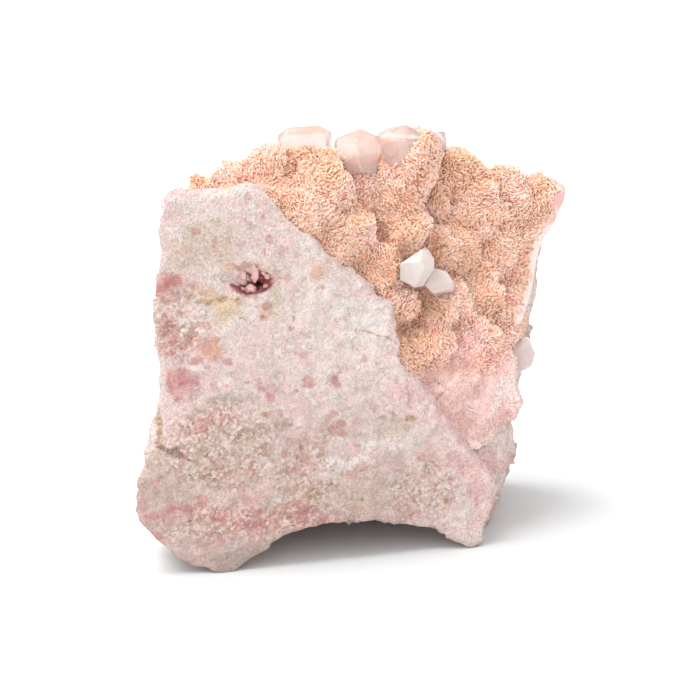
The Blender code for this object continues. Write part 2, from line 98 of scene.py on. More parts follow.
# markings on the front face, each an oval: x, z, half width, half height, and the degrees if it is turned
GRAINS = (  # single crystals of salmon and mauve rhodochrosite in the chalky rock
    (-22.4, 50.8, 0.8, 0.6, -20), (-22.0, 50.4, 0.4, 0.4), (-19.6, 48.5, 0.6, 0.4),
    (-19.5, 47.6, 0.3, 0.7, 10), (-11.6, 49.1, 0.6, 0.5), (-11.5, 48.4, 0.4, 0.3),
    (-12.6, 52.2, 0.3, 0.5, -25), (-12.4, 47.1, 0.2, 0.7), (-14.5, 50.6, 0.3, 0.2),
    (-12.0, 38.9, 0.7, 0.6), (-13.4, 38.9, 0.2, 0.3), (-3.9, 41.4, 0.4, 0.4),
    (-24.9, 43.9, 1.0, 0.8, 20), (-26.4, 43.2, 0.6, 0.6), (-22.6, 42.8, 0.9, 0.7),
    (-23.9, 42.1, 0.4, 0.5), (-24.0, 45.6, 0.2, 0.6, 10), (-23.0, 45.4, 0.3, 0.4),
    (-26.8, 38.1, 0.6, 0.9, 15), (-25.4, 37.3, 0.7, 0.6), (-24.6, 38.9, 0.3, 0.7),
    (-26.2, 35.0, 0.9, 1.0), (-24.8, 33.7, 0.6, 0.5), (-22.4, 37.1, 0.7, 0.7),
    (-20.6, 36.8, 0.7, 0.5, -30), (-23.5, 34.7, 0.4, 0.4), (-21.0, 33.6, 0.8, 0.6, 15),
    (-19.3, 34.6, 0.7, 0.5, 30), (-17.8, 31.2, 0.6, 0.7), (-22.4, 31.6, 1.3, 0.6, 10),
    (-20.7, 30.6, 0.6, 0.4), (-15.1, 27.9, 0.4, 0.3), (-13.4, 27.9, 0.2, 0.3),
    (-11.7, 25.3, 0.5, 0.8, 15), (-12.7, 26.8, 0.6, 0.3, -40), (-11.9, 22.9, 0.5, 0.4),
    (-10.4, 22.6, 0.4, 0.7), (-6.3, 27.5, 0.7, 0.8, 20), (-5.9, 26.6, 0.9, 0.4),
    (-7.7, 26.1, 0.3, 0.3), (-2.2, 27.3, 0.5, 0.8), (-1.9, 26.6, 0.6, 0.5),
    (-2.5, 19.5, 0.6, 0.9, 15), (-1.3, 20.3, 0.7, 0.7), (-1.0, 19.0, 0.8, 0.4, -10),
    (-3.4, 18.8, 0.3, 0.2), (-2.4, 22.6, 0.4, 0.3), (-1.8, 22.2, 0.4, 0.2),
    (4.7, 21.2, 0.5, 0.4, -20), (3.6, 22.0, 0.3, 0.2), (11.1, 20.4, 0.2, 0.2),
    (10.7, 14.6, 0.8, 0.5), (12.3, 14.9, 0.9, 0.5, 20), (13.4, 15.4, 0.4, 0.3),
    (2.4, 13.7, 0.6, 0.2, 20), (1.5, 13.2, 0.6, 0.2, 10), (0.2, 12.9, 0.4, 0.2),
    (13.2, 10.7, 0.5, 0.4), (14.8, 10.2, 0.6, 0.6), (9.4, 6.1, 0.9, 0.7, -15),
    (10.6, 5.6, 0.8, 0.5, 10), (13.6, 4.2, 0.8, 0.5), (15.0, 3.8, 0.7, 0.5),
    (1.1, 7.5, 0.8, 0.2, -10), (-7.3, 15.9, 0.5, 1.1, 25), (-6.4, 15.2, 0.4, 1.0, -10),
    (-5.8, 14.1, 0.7, 0.4), (-8.1, 14.5, 0.8, 0.3, 20), (-7.0, 17.6, 0.5, 0.4),
    (16.4, 12.5, 0.6, 0.8), (17.0, 11.4, 0.4, 0.6), (18.3, 14.4, 0.6, 0.4),
    (-27.7, 14.7, 0.9, 0.3, 15), (-25.4, 14.9, 0.5, 0.2), (-0.7, 24.2, 0.3, 0.2),
    (6.2, 17.6, 0.3, 0.3), (-7.6, 20.4, 0.5, 0.3, 20), (-4.3, 16.4, 0.4, 0.2),
    (1.2, 17.3, 0.5, 0.2, -15), (-9.1, 18.9, 0.5, 0.5), (-10.6, 19.6, 0.4, 0.3),
    (-9.6, 16.7, 0.5, 0.6), (-11.6, 18.0, 0.5, 0.3), (-21.6, 11.0, 0.9, 1.1),
    (-24.2, 18.4, 0.5, 0.3), (-17.9, 27.6, 0.5, 0.3), (-19.0, 24.9, 0.6, 0.3),
    (-16.6, 45.0, 0.8, 0.5, -20), (-15.2, 45.2, 0.6, 0.6), (-13.6, 45.0, 0.8, 0.5, 15),
    (-15.2, 40.7, 0.8, 0.4), (-13.8, 40.5, 0.7, 0.5, 10), (3.9, 29.4, 0.3, 0.2),
    (-4.0, 33.2, 0.3, 0.2), (-9.0, 33.6, 0.2, 0.3))
OCHRE_SPECKS = (  # small olive and tan grains of iron-stained carbonate
    (-20.5, 52.1, 0.25, 0.2), (-20.8, 51.3, 0.2, 0.2), (-15.6, 37.5, 0.5, 0.2, 10),
    (-12.8, 37.3, 0.35, 0.4), (-8.1, 36.9, 0.3, 0.4), (-8.6, 35.6, 0.35, 0.25),
    (-20.8, 40.3, 1.5, 0.5, -12), (-18.6, 40.6, 0.8, 0.4, 20), (-23.6, 41.2, 0.7, 0.4, 30),
    (-16.6, 40.4, 0.4, 0.3), (9.0, 20.7, 0.7, 0.6), (14.4, 7.4, 0.35, 0.9, -10),
    (0.9, 9.3, 0.4, 0.15), (1.9, 9.2, 0.2, 0.15), (-23.4, 7.7, 0.8, 0.4),
    (-22.2, 8.1, 0.5, 0.3), (-12.4, 22.9, 0.6, 0.4), (-8.6, 20.9, 0.3, 0.2),
    (-6.0, 10.6, 0.9, 0.5, -20), (-28.0, 22.6, 0.6, 4.6, 3),
    (2.9, 33.9, 2.3, 0.16, -14), (5.3, 33.2, 0.8, 0.2, -30))
BEIGE_AREAS = (  # where fine pale clay-like carbonate took the place of the pink
    (-17.2, 46.4, 1.3, 0.8, 10), (-18.4, 39.3, 2.6, 1.6, -10), (-16.2, 39.0, 0.9, 1.6),
    (-4.9, 43.3, 1.1, 1.3), (-20.9, 48.2, 5.6, 3.4, 15), (-20.5, 15.6, 9.6, 3.0),
    (-25.2, 12.9, 5.2, 2.2), (-16.1, 19.9, 6.2, 1.8, 5), (-7.8, 11.6, 4.0, 2.0, -15),
    (9.1, 18.9, 4.2, 2.4, -30), (13.6, 14.0, 2.6, 1.2, 15), (-0.9, 8.9, 4.4, 1.4, -12),
    (-12.8, 44.7, 1.6, 0.9, -30), (3.0, 11.0, 5.0, 1.6, 15), (-10.8, 41.8, 1.6, 4.6))
TAN_AREAS = ((-18.2, 40.1, 1.9, 1.6, -20), (-20.8, 40.9, 1.8, 0.8, -10), (-17.4, 38.2, 1.2, 1.0))
PEACH_AREAS = ((-17.6, 45.2, 1.2, 0.8, 10), (-19.9, 33.2, 1.6, 1.3, 15), (-4.7, 43.6, 1.2, 1.1),
               (-12.2, 38.4, 0.9, 0.6), (-20.6, 41.6, 1.2, 1.0))  # honey and peach carbonate
ROSE_AREAS = (  # massive deep pink carbonate
    (19.5, 10.5, 1.2, 4.0, -15),
    (-25.4, 9.0, 4.0, 0.7, -8), (-12.5, 6.4, 7.2, 1.2, 4), (-17.6, 8.8, 3.2, 0.9, -10),
    (-7.4, 8.2, 2.6, 1.2, -20), (-29.7, 11.0, 0.7, 1.2), (-21.4, 22.4, 3.4, 1.2, 10),
    (-13.6, 9.8, 2.6, 0.9, -25), (-25.9, 34.8, 1.8, 3.2, 10), (-26.3, 42.6, 1.6, 2.2, -10),
    (15.4, 20.1, 1.8, 1.9), (17.6, 17.6, 1.2, 1.6), (-24.7, 28.0, 2.0, 2.4),
    (-3.4, 6.8, 2.2, 0.7, -15), (-27.8, 5.2, 1.4, 1.0, -20), (-21.6, 33.8, 3.2, 1.6, -15))
BUSY_AREAS = ((-19.5, 18.5, 9.0, 7.0), (-24.5, 37.5, 3.6, 7.0), (-7.0, 14.0, 4.5, 5.5),
              (12.0, 9.0, 7.0, 4.5, 20), (-14.0, 7.5, 12.0, 3.0))  # crumbs of mixed colours
GREY_AREAS = (  # grey-olive gangue
    (-16.8, 2.2, 3.6, 1.6, -6), (-21.2, 5.0, 0.8, 0.2, 8), (-14.6, 21.2, 4.0, 0.9, -8),
    (-19.6, 25.2, 2.8, 0.7, 10), (-5.4, 11.2, 0.5, 0.25, 20), (-9.6, 14.6, 0.6, 0.4))
DARK_STREAKS = (  # nearly black sulphide along small cracks
    (-28.7, 19.9, 0.8, 0.5), (-27.6, 19.3, 1.1, 0.5, -10), (-26.2, 18.8, 1.0, 0.5, -14),
    (-24.9, 18.1, 0.9, 0.4, -30), (-23.7, 17.4, 0.9, 0.2, -25), (-21.0, 17.9, 0.5, 0.2, 40),
    (19.1, 9.7, 0.45, 1.4, -42), (-5.3, 11.3, 0.35, 0.12, 25),
    (-8.7, 30.6, 0.12, 0.12), (-9.8, 18.6, 0.15, 0.12))
BRUISES_AND_HIGHLIGHTS = (  # crushed white where the rock was struck, and painted highlight on its proud edges
    (-17.6, 56.4, 2.0, 0.5, 30), (-15.2, 57.2, 1.6, 0.5), (-12.4, 55.8, 0.5, 1.6, 30),
    (-10.2, 52.2, 0.5, 1.6, 35), (-24.2, 55.2, 2.6, 0.4, -5), (-11.5, 10.3, 1.2, 0.25, -5),
    (8.6, 17.6, 5.2, 0.7, 25), (0.4, 32.6, 5.8, 0.6, 8), (-5.4, 47.0, 2.2, 0.8, -40),
    (5.0, 36.9, 0.9, 2.2), (11.9, 22.9, 3.2, 0.7, -42), (7.3, 28.0, 1.6, 0.6, -30),
    (1.5, 15.7, 6.6, 0.9, 20), (1.8, 36.0, 3.6, 2.6, -30), (-3.0, 38.5, 2.6, 1.6, -35),
    (-22.6, 37.9, 1.8, 0.5, 15), (-21.4, 39.5, 1.3, 0.4, -10))
PITS = ((-2.2, 27.4, 2.1, 0.8), (-18.4, 31.7, 1.6, 0.4), (17.4, 12.6, 3.2, 1.0),
        (9.5, 8.3, 1.7, 0.3), (-25.0, 17.5, 3.0, 0.5), (-1.8, 19.8, 2.2, 0.4),
        (-6.8, 15.5, 2.2, 0.4), (-28.6, 26.4, 2.6, 0.5))  # x, z, width and depth
# the markings' outlines: how ragged each is, and how far from it the colour starts and is full
OUTLINES = {"beige": (3, 0.9, -0.9), "rose": (3.2, 0.9, -0.8), "tan": (2.4, 0.8, -0.9),
            "peach": (1.6, 0.5, -0.6), "grey": (2, 0.8, -0.7), "salmon": (0.6, 0.2, -0.18),
            "bruise_and_highlight": (2.6, 0.5, -0.4), "streak": (0.9, 0.2, -0.16), "ochre": (0.9, 0.25, -0.2),
            "beside": (0.6, -0.2, 0.35), "hollow": (0.2, 0.12, -0.12)}
CRUMB_KINDS = ((0.4, 0.5, (240, 222, 212)), (0.62, 0.7, (206, 138, 134)), (0.74, 0.82, (250, 240, 234)))


def lattice(ix, iy, iz, seed):
    """A fixed random number from -1 to 1 for each whole-numbered point."""
    h = (ix * 374761393 + iy * 668265263 + iz * 1440662683 + seed * 974634777) & 0xffffffff
    h = ((h ^ (h >> 13)) * 1274126177) & 0xffffffff
    h = ((h ^ (h >> 15)) * 668265263) & 0xffffffff
    return (h ^ (h >> 16)) / 2.0**31 - 1.0


def noise(points, size, seed):
    """Random numbers at whole-numbered points, blended smoothly between them: swells of about size."""
    q = points / size
    corner = np.floor(q).astype(np.int64)
    t = q - corner
    t = t * t * t * (t * (t * 6 - 15) + 10)
    out = np.zeros(len(points))
    for step in np.ndindex(2, 2, 2):
        weight = np.prod(np.where(np.array(step) == 1, t, 1 - t), axis=1)
        out += weight * lattice(*(corner + step).T, seed)
    return out


def swells(points, size, seed):
    """Three noises of their own for each point, as a way to move it."""
    return np.stack([noise(points, size, seed + k) for k in range(3)], -1)


def cells(points, size, seed):
    """The nearest of one random centre per cube: distance in cubes, offset in mm, three random numbers."""
    q = points / size
    cube = np.floor(q).astype(np.int64)
    nearest = np.full(len(points), 9.0)
    offset = np.zeros_like(points)
    draws = np.zeros_like(points)
    for step in np.ndindex(3, 3, 3):
        at = cube + step - 1
        draw = np.stack([lattice(*at.T, seed + k) for k in range(3)], -1)
        away = q - (at + 0.5 + 0.45 * draw)
        distance = np.linalg.norm(away, axis=1)
        near = distance < nearest
        nearest[near] = distance[near]
        offset[near] = away[near]
        draws[near] = draw[near]
    return nearest, offset * size, np.sin(draws * 91.7 + np.arange(3))


def facets(points, size, seed, tilt, step):
    """Broken grains: each has a flat face of its own tilt, at a level of its own."""
    _, offset, draws = cells(points, size, seed)
    return tilt * (offset * draws).sum(1) + step * draws[:, 0]


def smooth_max(values, radius):
    """The greatest of several surfaces' values, with the edges where they meet rounded."""
    stack = np.stack(values)
    top = stack.max(0)
    return top + radius * np.log(np.exp((stack - top) / radius).sum(0))


def smooth_min(values, radius):
    """The least of several surfaces' values, with the edges rounded."""
    return -smooth_max([-v for v in values], radius)


def plane(points, normal, at):
    """Signed distance to the plane through at."""
    n = np.array(normal, float)
    return (points - np.array(at, float)) @ (n / np.linalg.norm(n))


def warp(points):
    """Points moved by a slow noise, so that no break is a true plane."""
    return points + 0.9 * swells(points, 9, 1)


def front_break(w):
    """The broken front face."""
    turn, lean = math.radians(FRONT_TURN), math.radians(FRONT_LEAN)
    normal = (math.sin(turn) * math.cos(lean), -math.cos(turn) * math.cos(lean), math.sin(lean))
    return plane(w, normal, FRONT_AT)


def planes(w, rows):
    """Signed distances to several planes, moved out by the swelling of the rock at the upper right corner:
    a bell curve of the distance in x and z."""
    away = (w[:, [0, 2]] - np.array(BULGE_AT)) / np.array(BULGE_SIZE)
    swelling = np.exp(-(away**2).sum(1))
    return [plane(w, normal, at) - share * swelling for normal, at, share in rows]


def vein_wall(w):
    """The surface that the druse grew to: a steep face, and a top that falls to the back and the ends."""
    return smooth_max(planes(w, VEIN_PLANES), VEIN_EDGE)


def side_breaks(w, inset):
    """The left side, the right side and the back."""
    return [side + inset for side in planes(w, SIDE_PLANES)]


def underside(points):
    """The rough foot, arched between two feet and lifted at the far left."""
    x, y, z = points.T
    along = (x - ARCH_MIDDLE) / np.where(x < ARCH_MIDDLE, ARCH_LEFT, ARCH_RIGHT)
    to_back = np.clip((y - ARCH_BACK) / ARCH_FADES, 0, 1)
    arch = ARCH_RISE * np.clip(1 - along * along, 0, 1)
    arch *= 1 - ARCH_LOSS * to_back * to_back * (3 - 2 * to_back)
    lifted_left = np.clip((-x - LIFT_FROM) * LIFT_SLOPE, 0, 9)
    return arch + lifted_left + FOOT_ROUGH * noise(points, 8, 31) - FOOT_DEPTH - z


def block(points):
    """The block: its breaks, the bed of the druse, and the thin wall of the front face before it."""
    x, _, z = points.T
    w = warp(points)
    front = front_break(w)
    body = smooth_max(planes(w, SIDE_PLANES + LOW_PLANES) + [underside(points)], BODY_EDGE)
    core = smooth_max([body, front, vein_wall(points) + CRUST_BED], CORE_EDGE)
    crest = np.interp(x, *np.transpose(CREST))
    sloping_top = 0.8 * (z - crest) + 0.5 * (front + SLAB_THICK / 2)
    wall = smooth_max([body, front, -(front + SLAB_THICK), sloping_top], WALL_EDGE)
    from_dish = (points - np.array(DISH_AT)) / np.array(DISH_SIZE)
    return np.minimum(core, wall) + DISH_DEPTH * np.exp(-(from_dish**2).sum(1))


def hollowed_block(points):
    """The block with the small hollow taken out: the greater of its value and the hollow's, reversed."""
    uneven = 1 + 0.22 * noise(points, 1.3, 43) + 0.12 * noise(points, 0.6, 44)
    hollow = (np.linalg.norm((points - HOLLOW_AT) / HOLLOW_SIZE, axis=1) - uneven) * HOLLOW_SIZE[2]
    return np.maximum(block(points), -hollow)


def cast(surface, directions, near=8.0, far=50.0, steps=22, halvings=12):
    """The outermost point of a surface on each line from the block's middle, found by halving."""
    inner = np.full(len(directions), near)
    for reach in np.linspace(near, far, steps):
        inner = np.where(surface(MIDDLE + directions * reach) < 0, reach, inner)
    outer = inner + (far - near) / (steps - 1)
    for _ in range(halvings):
        half = (inner + outer) / 2
        inside = surface(MIDDLE + directions * half[:, None]) < 0
        inner, outer = np.where(inside, half, inner), np.where(inside, outer, half)
    return MIDDLE + directions * half[:, None]


def box_grid(cells_along):
    """The six sides of a box as grids that share their edges: corners from -1 to 1, and outward quads.
    Each side is a function of two whole numbers; corners that fall together are made one."""
    corners, quads, count = [], [], 0
    for axis in range(3):
        a, b = (axis + 1) % 3, (axis + 2) % 3
        na, nb = cells_along[a], cells_along[b]
        i, j = np.meshgrid(np.arange(na + 1), np.arange(nb + 1), indexing="ij")
        for side in (0, 1):
            key = np.zeros((*i.shape, 3), int)
            key[..., a], key[..., b], key[..., axis] = i, j, side * cells_along[axis]
            first = count + np.arange(na)[:, None] * (nb + 1) + np.arange(nb)
            face = np.stack([first, first + nb + 1, first + nb + 2, first + 1], -1).reshape(-1, 4)
            corners.append(key.reshape(-1, 3))
            quads.append(face if side else face[:, ::-1])
            count += key[..., 0].size
    unique, index = np.unique(np.concatenate(corners), axis=0, return_inverse=True)
    return unique / np.array(cells_along) * 2 - 1, index.reshape(-1)[np.concatenate(quads)]


def relaxed(points, faces, amount):
    """Each corner moved towards the mean of its faces' centres, by its own amount from 0 to 1."""
    centres = np.repeat(points[faces].mean(1), faces.shape[1], axis=0)
    shared = np.bincount(faces.ravel(), minlength=len(points))
    mean = np.stack([np.bincount(faces.ravel(), centres[:, k], len(points)) for k in range(3)], -1)
    return points + amount[:, None] * (mean / shared[:, None] - points)


def evened(points, faces, lines, where=1.0):
    """The grid relaxed three times where the surface is steep to its lines."""
    for _ in range(3):
        steep = np.clip(0.75 - (corner_normals(points, faces) * lines).sum(1) * 1.5, 0, 0.6)
        points = relaxed(points, faces, steep * where)
    return points


def corner_normals(points, faces):
    """At each corner, the mean of its faces' normals: half the cross product of each quad's diagonals."""
    p = points[faces]
    across = np.cross(p[:, 2] - p[:, 0], p[:, 3] - p[:, 1]) / 2
    total = np.stack([np.bincount(faces.ravel(), np.repeat(across[:, k], faces.shape[1]), len(points))
                      for k in range(3)], -1)
    return total / np.maximum(np.linalg.norm(total, axis=1), 1e-12)[:, None]


def write_piece(name, points, faces, smooth=True, values=None):
    """An object in metres from corners in millimetres and rows of corner numbers, with its place in its
    mesh, and one number per corner for each named value that its material reads."""
    mesh = bpy.data.meshes.new(name)
    mesh.vertices.add(len(points))
    mesh.vertices.foreach_set("co", ((points - SHIFT) * MM).astype(np.float32).ravel())
    mesh.loops.add(faces.size)
    mesh.loops.foreach_set("vertex_index", faces.astype(np.int32).ravel())
    mesh.polygons.add(len(faces))
    mesh.polygons.foreach_set("loop_start", np.arange(0, faces.size, faces.shape[1], dtype=np.int32))
    mesh.polygons.foreach_set("use_smooth", np.full(len(faces), smooth))
    mesh.update(calc_edges=True)
    for key, value in (values or {}).items():
        mesh.attributes.new(key, "FLOAT", "POINT").data.foreach_set("value", value.astype(np.float32))
    piece = bpy.data.objects.new(name, mesh)
    bpy.context.scene.collection.objects.link(piece)
    return piece


def ovals(x, z, shapes):
    """Distance in millimetres to the nearest outline of several turned ovals, negative inside."""
    nearest = np.full(len(x), 6.0)
    for cx, cz, half_wide, half_high, *degrees in shapes:
        turn = math.radians(sum(degrees))
        c, s = math.cos(turn), math.sin(turn)
        u = ((x - cx) * c + (z - cz) * s) / half_wide
        v = ((z - cz) * c - (x - cx) * s) / half_high
        nearest = np.minimum(nearest, (np.sqrt(u * u + v * v) - 1) * min(half_wide, half_high))
    return nearest


def streaks(points, size, seed):
    """Noise drawn out along fine strokes that rise to the right across the front face."""
    c, s = math.cos(STROKE_RISE), math.sin(STROKE_RISE)
    along = points[:, 0] * c + points[:, 2] * s
    across = points[:, 2] * c - points[:, 0] * s
    return noise(np.stack([along / 4.5, points[:, 1], across], -1), size, seed)


def rock_relief(points, normals):
    """Height of the rough surface in millimetres: sums of noise and broken grains, chalky in front and
    bolder where the normal turns away from it."""
    bent = points + 0.7 * swells(points, 1.8, 51)
    away = np.clip(0.75 + normals[:, 1] * 1.25, 0, 1)
    chalk = sum(height * noise(points, size, seed) for height, size, seed in CHALK)
    chalk += STROKE_HEIGHT * streaks(points, 1.3, 65)
    grains = sum(facets(bent, *kind) for kind in GRAIN_FACES)
    bold = sum(facets(bent, *kind) for kind in BOLD_FACES)
    return chalk + grains * (0.7 + 0.3 * away) + away * bold


def low_part(points):
    """From 0 in the upper druse to 1 in its pale, granular lower end."""
    return np.clip((LOW_DRUSE - points[:, 2] + noise(points, 3.0, 83) * 1.5) / 3, 0, 1)


def make_rock():
    """The block's surface with its relief and pits, its hollow, its flat feet, and its markings."""
    grid, faces = box_grid(ROCK_CELLS)
    low, high = np.transpose(ROCK_REACH)
    lines = low + (grid + 1) / 2 * (high - low)
    lines = lines / np.linalg.norm(lines, axis=1)[:, None]
    points = cast(hollowed_block, lines)
    in_hollow = np.linalg.norm((points - HOLLOW_AT) / HOLLOW_SIZE, axis=1)
    around = in_hollow > HOLLOW_SPARED
    points = evened(points, faces, lines, around)
    normals = corner_normals(points, faces)
    height = rock_relief(points, normals) * np.clip((in_hollow - 0.9) * 4, 0, 1)
    height *= np.clip((normals * lines).sum(1) * 3, 0, 1)
    w = warp(points)
    off_front = np.clip(-front_break(w) - FRONT_SKIN, 0, 9)
    # painted shade: the inside of the hollow, painted deep red
    hollow = np.maximum(in_hollow - HOLLOW_SHADE_DEEP, HOLLOW_SHADE_BEHIND + front_break(w))
    hollow = np.minimum(hollow, in_hollow - HOLLOW_SHADE_RIM)
    x, z = points[:, 0], points[:, 2]
    for cx, cz, width, depth in PITS:
        away = ((x - cx)**2 + (z - cz)**2) / (width / 2)**2
        height -= depth * np.exp(-away * 1.4) * (off_front < 0.5)
    wobble = points + 0.35 * swells(points, 1.1, 71)
    drift = wobble + 1.3 * swells(points, 3.2, 74)
    wx, wz = wobble[:, 0], wobble[:, 2]
    dx, dz = drift[:, 0], drift[:, 2]
    salmon = ovals(wx, wz, GRAINS) + off_front
    height -= GRAIN_SINK * np.clip(0.5 - salmon * 3, 0, 1)
    height += BRUISE_RISE * np.clip(1 - np.abs(ovals(wx, wz, BRUISES_AND_HIGHLIGHTS)) / 1.2, 0, 1) * (off_front < 0.5)
    points = points + normals * height[:, None]
    slanting = np.clip(1.1 - (normals * lines).sum(1) * 1.3, 0, 0.7) * around
    for _ in range(2):
        points = relaxed(points, faces, slanting)
    points[:, 2] = np.maximum(points[:, 2], 0)
    shapes = {"tan": TAN_AREAS, "beige": BEIGE_AREAS, "rose": ROSE_AREAS, "grey": GREY_AREAS,
              "bruise_and_highlight": BRUISES_AND_HIGHLIGHTS}
    marks = {name: ovals(dx, dz, areas) + off_front for name, areas in shapes.items()}
    marks |= {"salmon": salmon, "ochre": ovals(wx, wz, OCHRE_SPECKS) + 0.4 * off_front,
              "busy": ovals(dx, dz, BUSY_AREAS) / 2 + off_front,
              "peach": ovals(wx, wz, PEACH_AREAS) + off_front,
              "streak": ovals(wx, wz, DARK_STREAKS) + off_front,
              "hollow": hollow, "off_front": off_front,
              "beside": (vein_wall(drift) + 2.2) / 4 + low_part(points) - 1}
    return write_piece("massive_rock", points, faces, values=marks)


class Link:
    """A socket's output in a material. Sums, differences and products of links add Math nodes."""

    def __init__(self, tree, socket):
        self.tree, self.socket = tree, socket

    def node(self, kind, settings=None, inputs=None, output=0):
        """Adds a node: its settings first, such as a Math node's operation, then its sockets."""
        new = self.tree.nodes.new("ShaderNode" + kind)
        for key, value in (settings or {}).items():
            setattr(new, key, value)
        self.plug(new, inputs or {})
        return Link(self.tree, new.outputs[output])

    def plug(self, node, inputs):
        """Gives a node's sockets their links or values."""
        for key, value in inputs.items():
            if isinstance(value, Link):
                self.tree.links.new(value.socket, node.inputs[key])
            else:
                node.inputs[key].default_value = value

    def maths(self, operation, *others):
        return self.node("Math", {"operation": operation}, dict(enumerate((self, *others))))

    def __add__(self, other):
        return self.maths("ADD", other)

    def __sub__(self, other):
        return self.maths("SUBTRACT", other)

    def __mul__(self, other):
        return self.maths("MULTIPLY", other)

    def __rsub__(self, other):
        return self.node("Math", {"operation": "SUBTRACT"}, {0: other, 1: self})

    __radd__, __rmul__ = __add__, __mul__

    def clipped(self, low=0.0, high=1.0):
        """Rises smoothly from 0 where this is low to 1 where it is high; falls if low is above high."""
        return self.node("MapRange", {"interpolation_type": "SMOOTHSTEP"},
                         {"Value": self, "From Min": low, "From Max": high})


def start_material(name):
    """A new material: the material, its shader, a first link to build from, and the piece's own
    coordinates in millimetres."""
    new = bpy.data.materials.new(name)
    new.use_nodes = True
    tree = new.node_tree
    shader = tree.nodes["Principled BSDF"]
    start = Link(tree, None)
    place = start.node("TexCoord", output="Object")
    return new, shader, start, start.node("Mapping", inputs={"Vector": place, "Scale": (1 / MM,) * 3})


def pigment(shown):
    """A colour as it shows on a screen, from 0 to 255, as the light that it reflects."""
    shown = np.array(shown) / 255
    return (*np.where(shown < 0.04045, shown / 12.92, ((shown + 0.055) / 1.055)**2.4), 1.0)


def mixed(amount, first, second):
    """From the first colour to the second by amount, which is a link. Each colour is a link too, or its
    red, green and blue as they show on a screen."""
    first, second = (colour if isinstance(colour, Link) else pigment(colour) for colour in (first, second))
    return amount.node("Mix", {"data_type": "RGBA"}, {0: amount, 6: first, 7: second}, output=2)


def grain(place, size, detail=3.0, roughness=0.55):
    """Noise from about 0 to 1, with swells of about size millimetres."""
    return place.node("TexNoise", inputs={"Vector": place, "Scale": 1 / size, "Detail": detail,
                                          "Roughness": roughness})


def attribute(start, name):
    """The number that the mesh holds for each corner under this name."""
    return start.node("Attribute", {"attribute_name": name}, output="Fac")


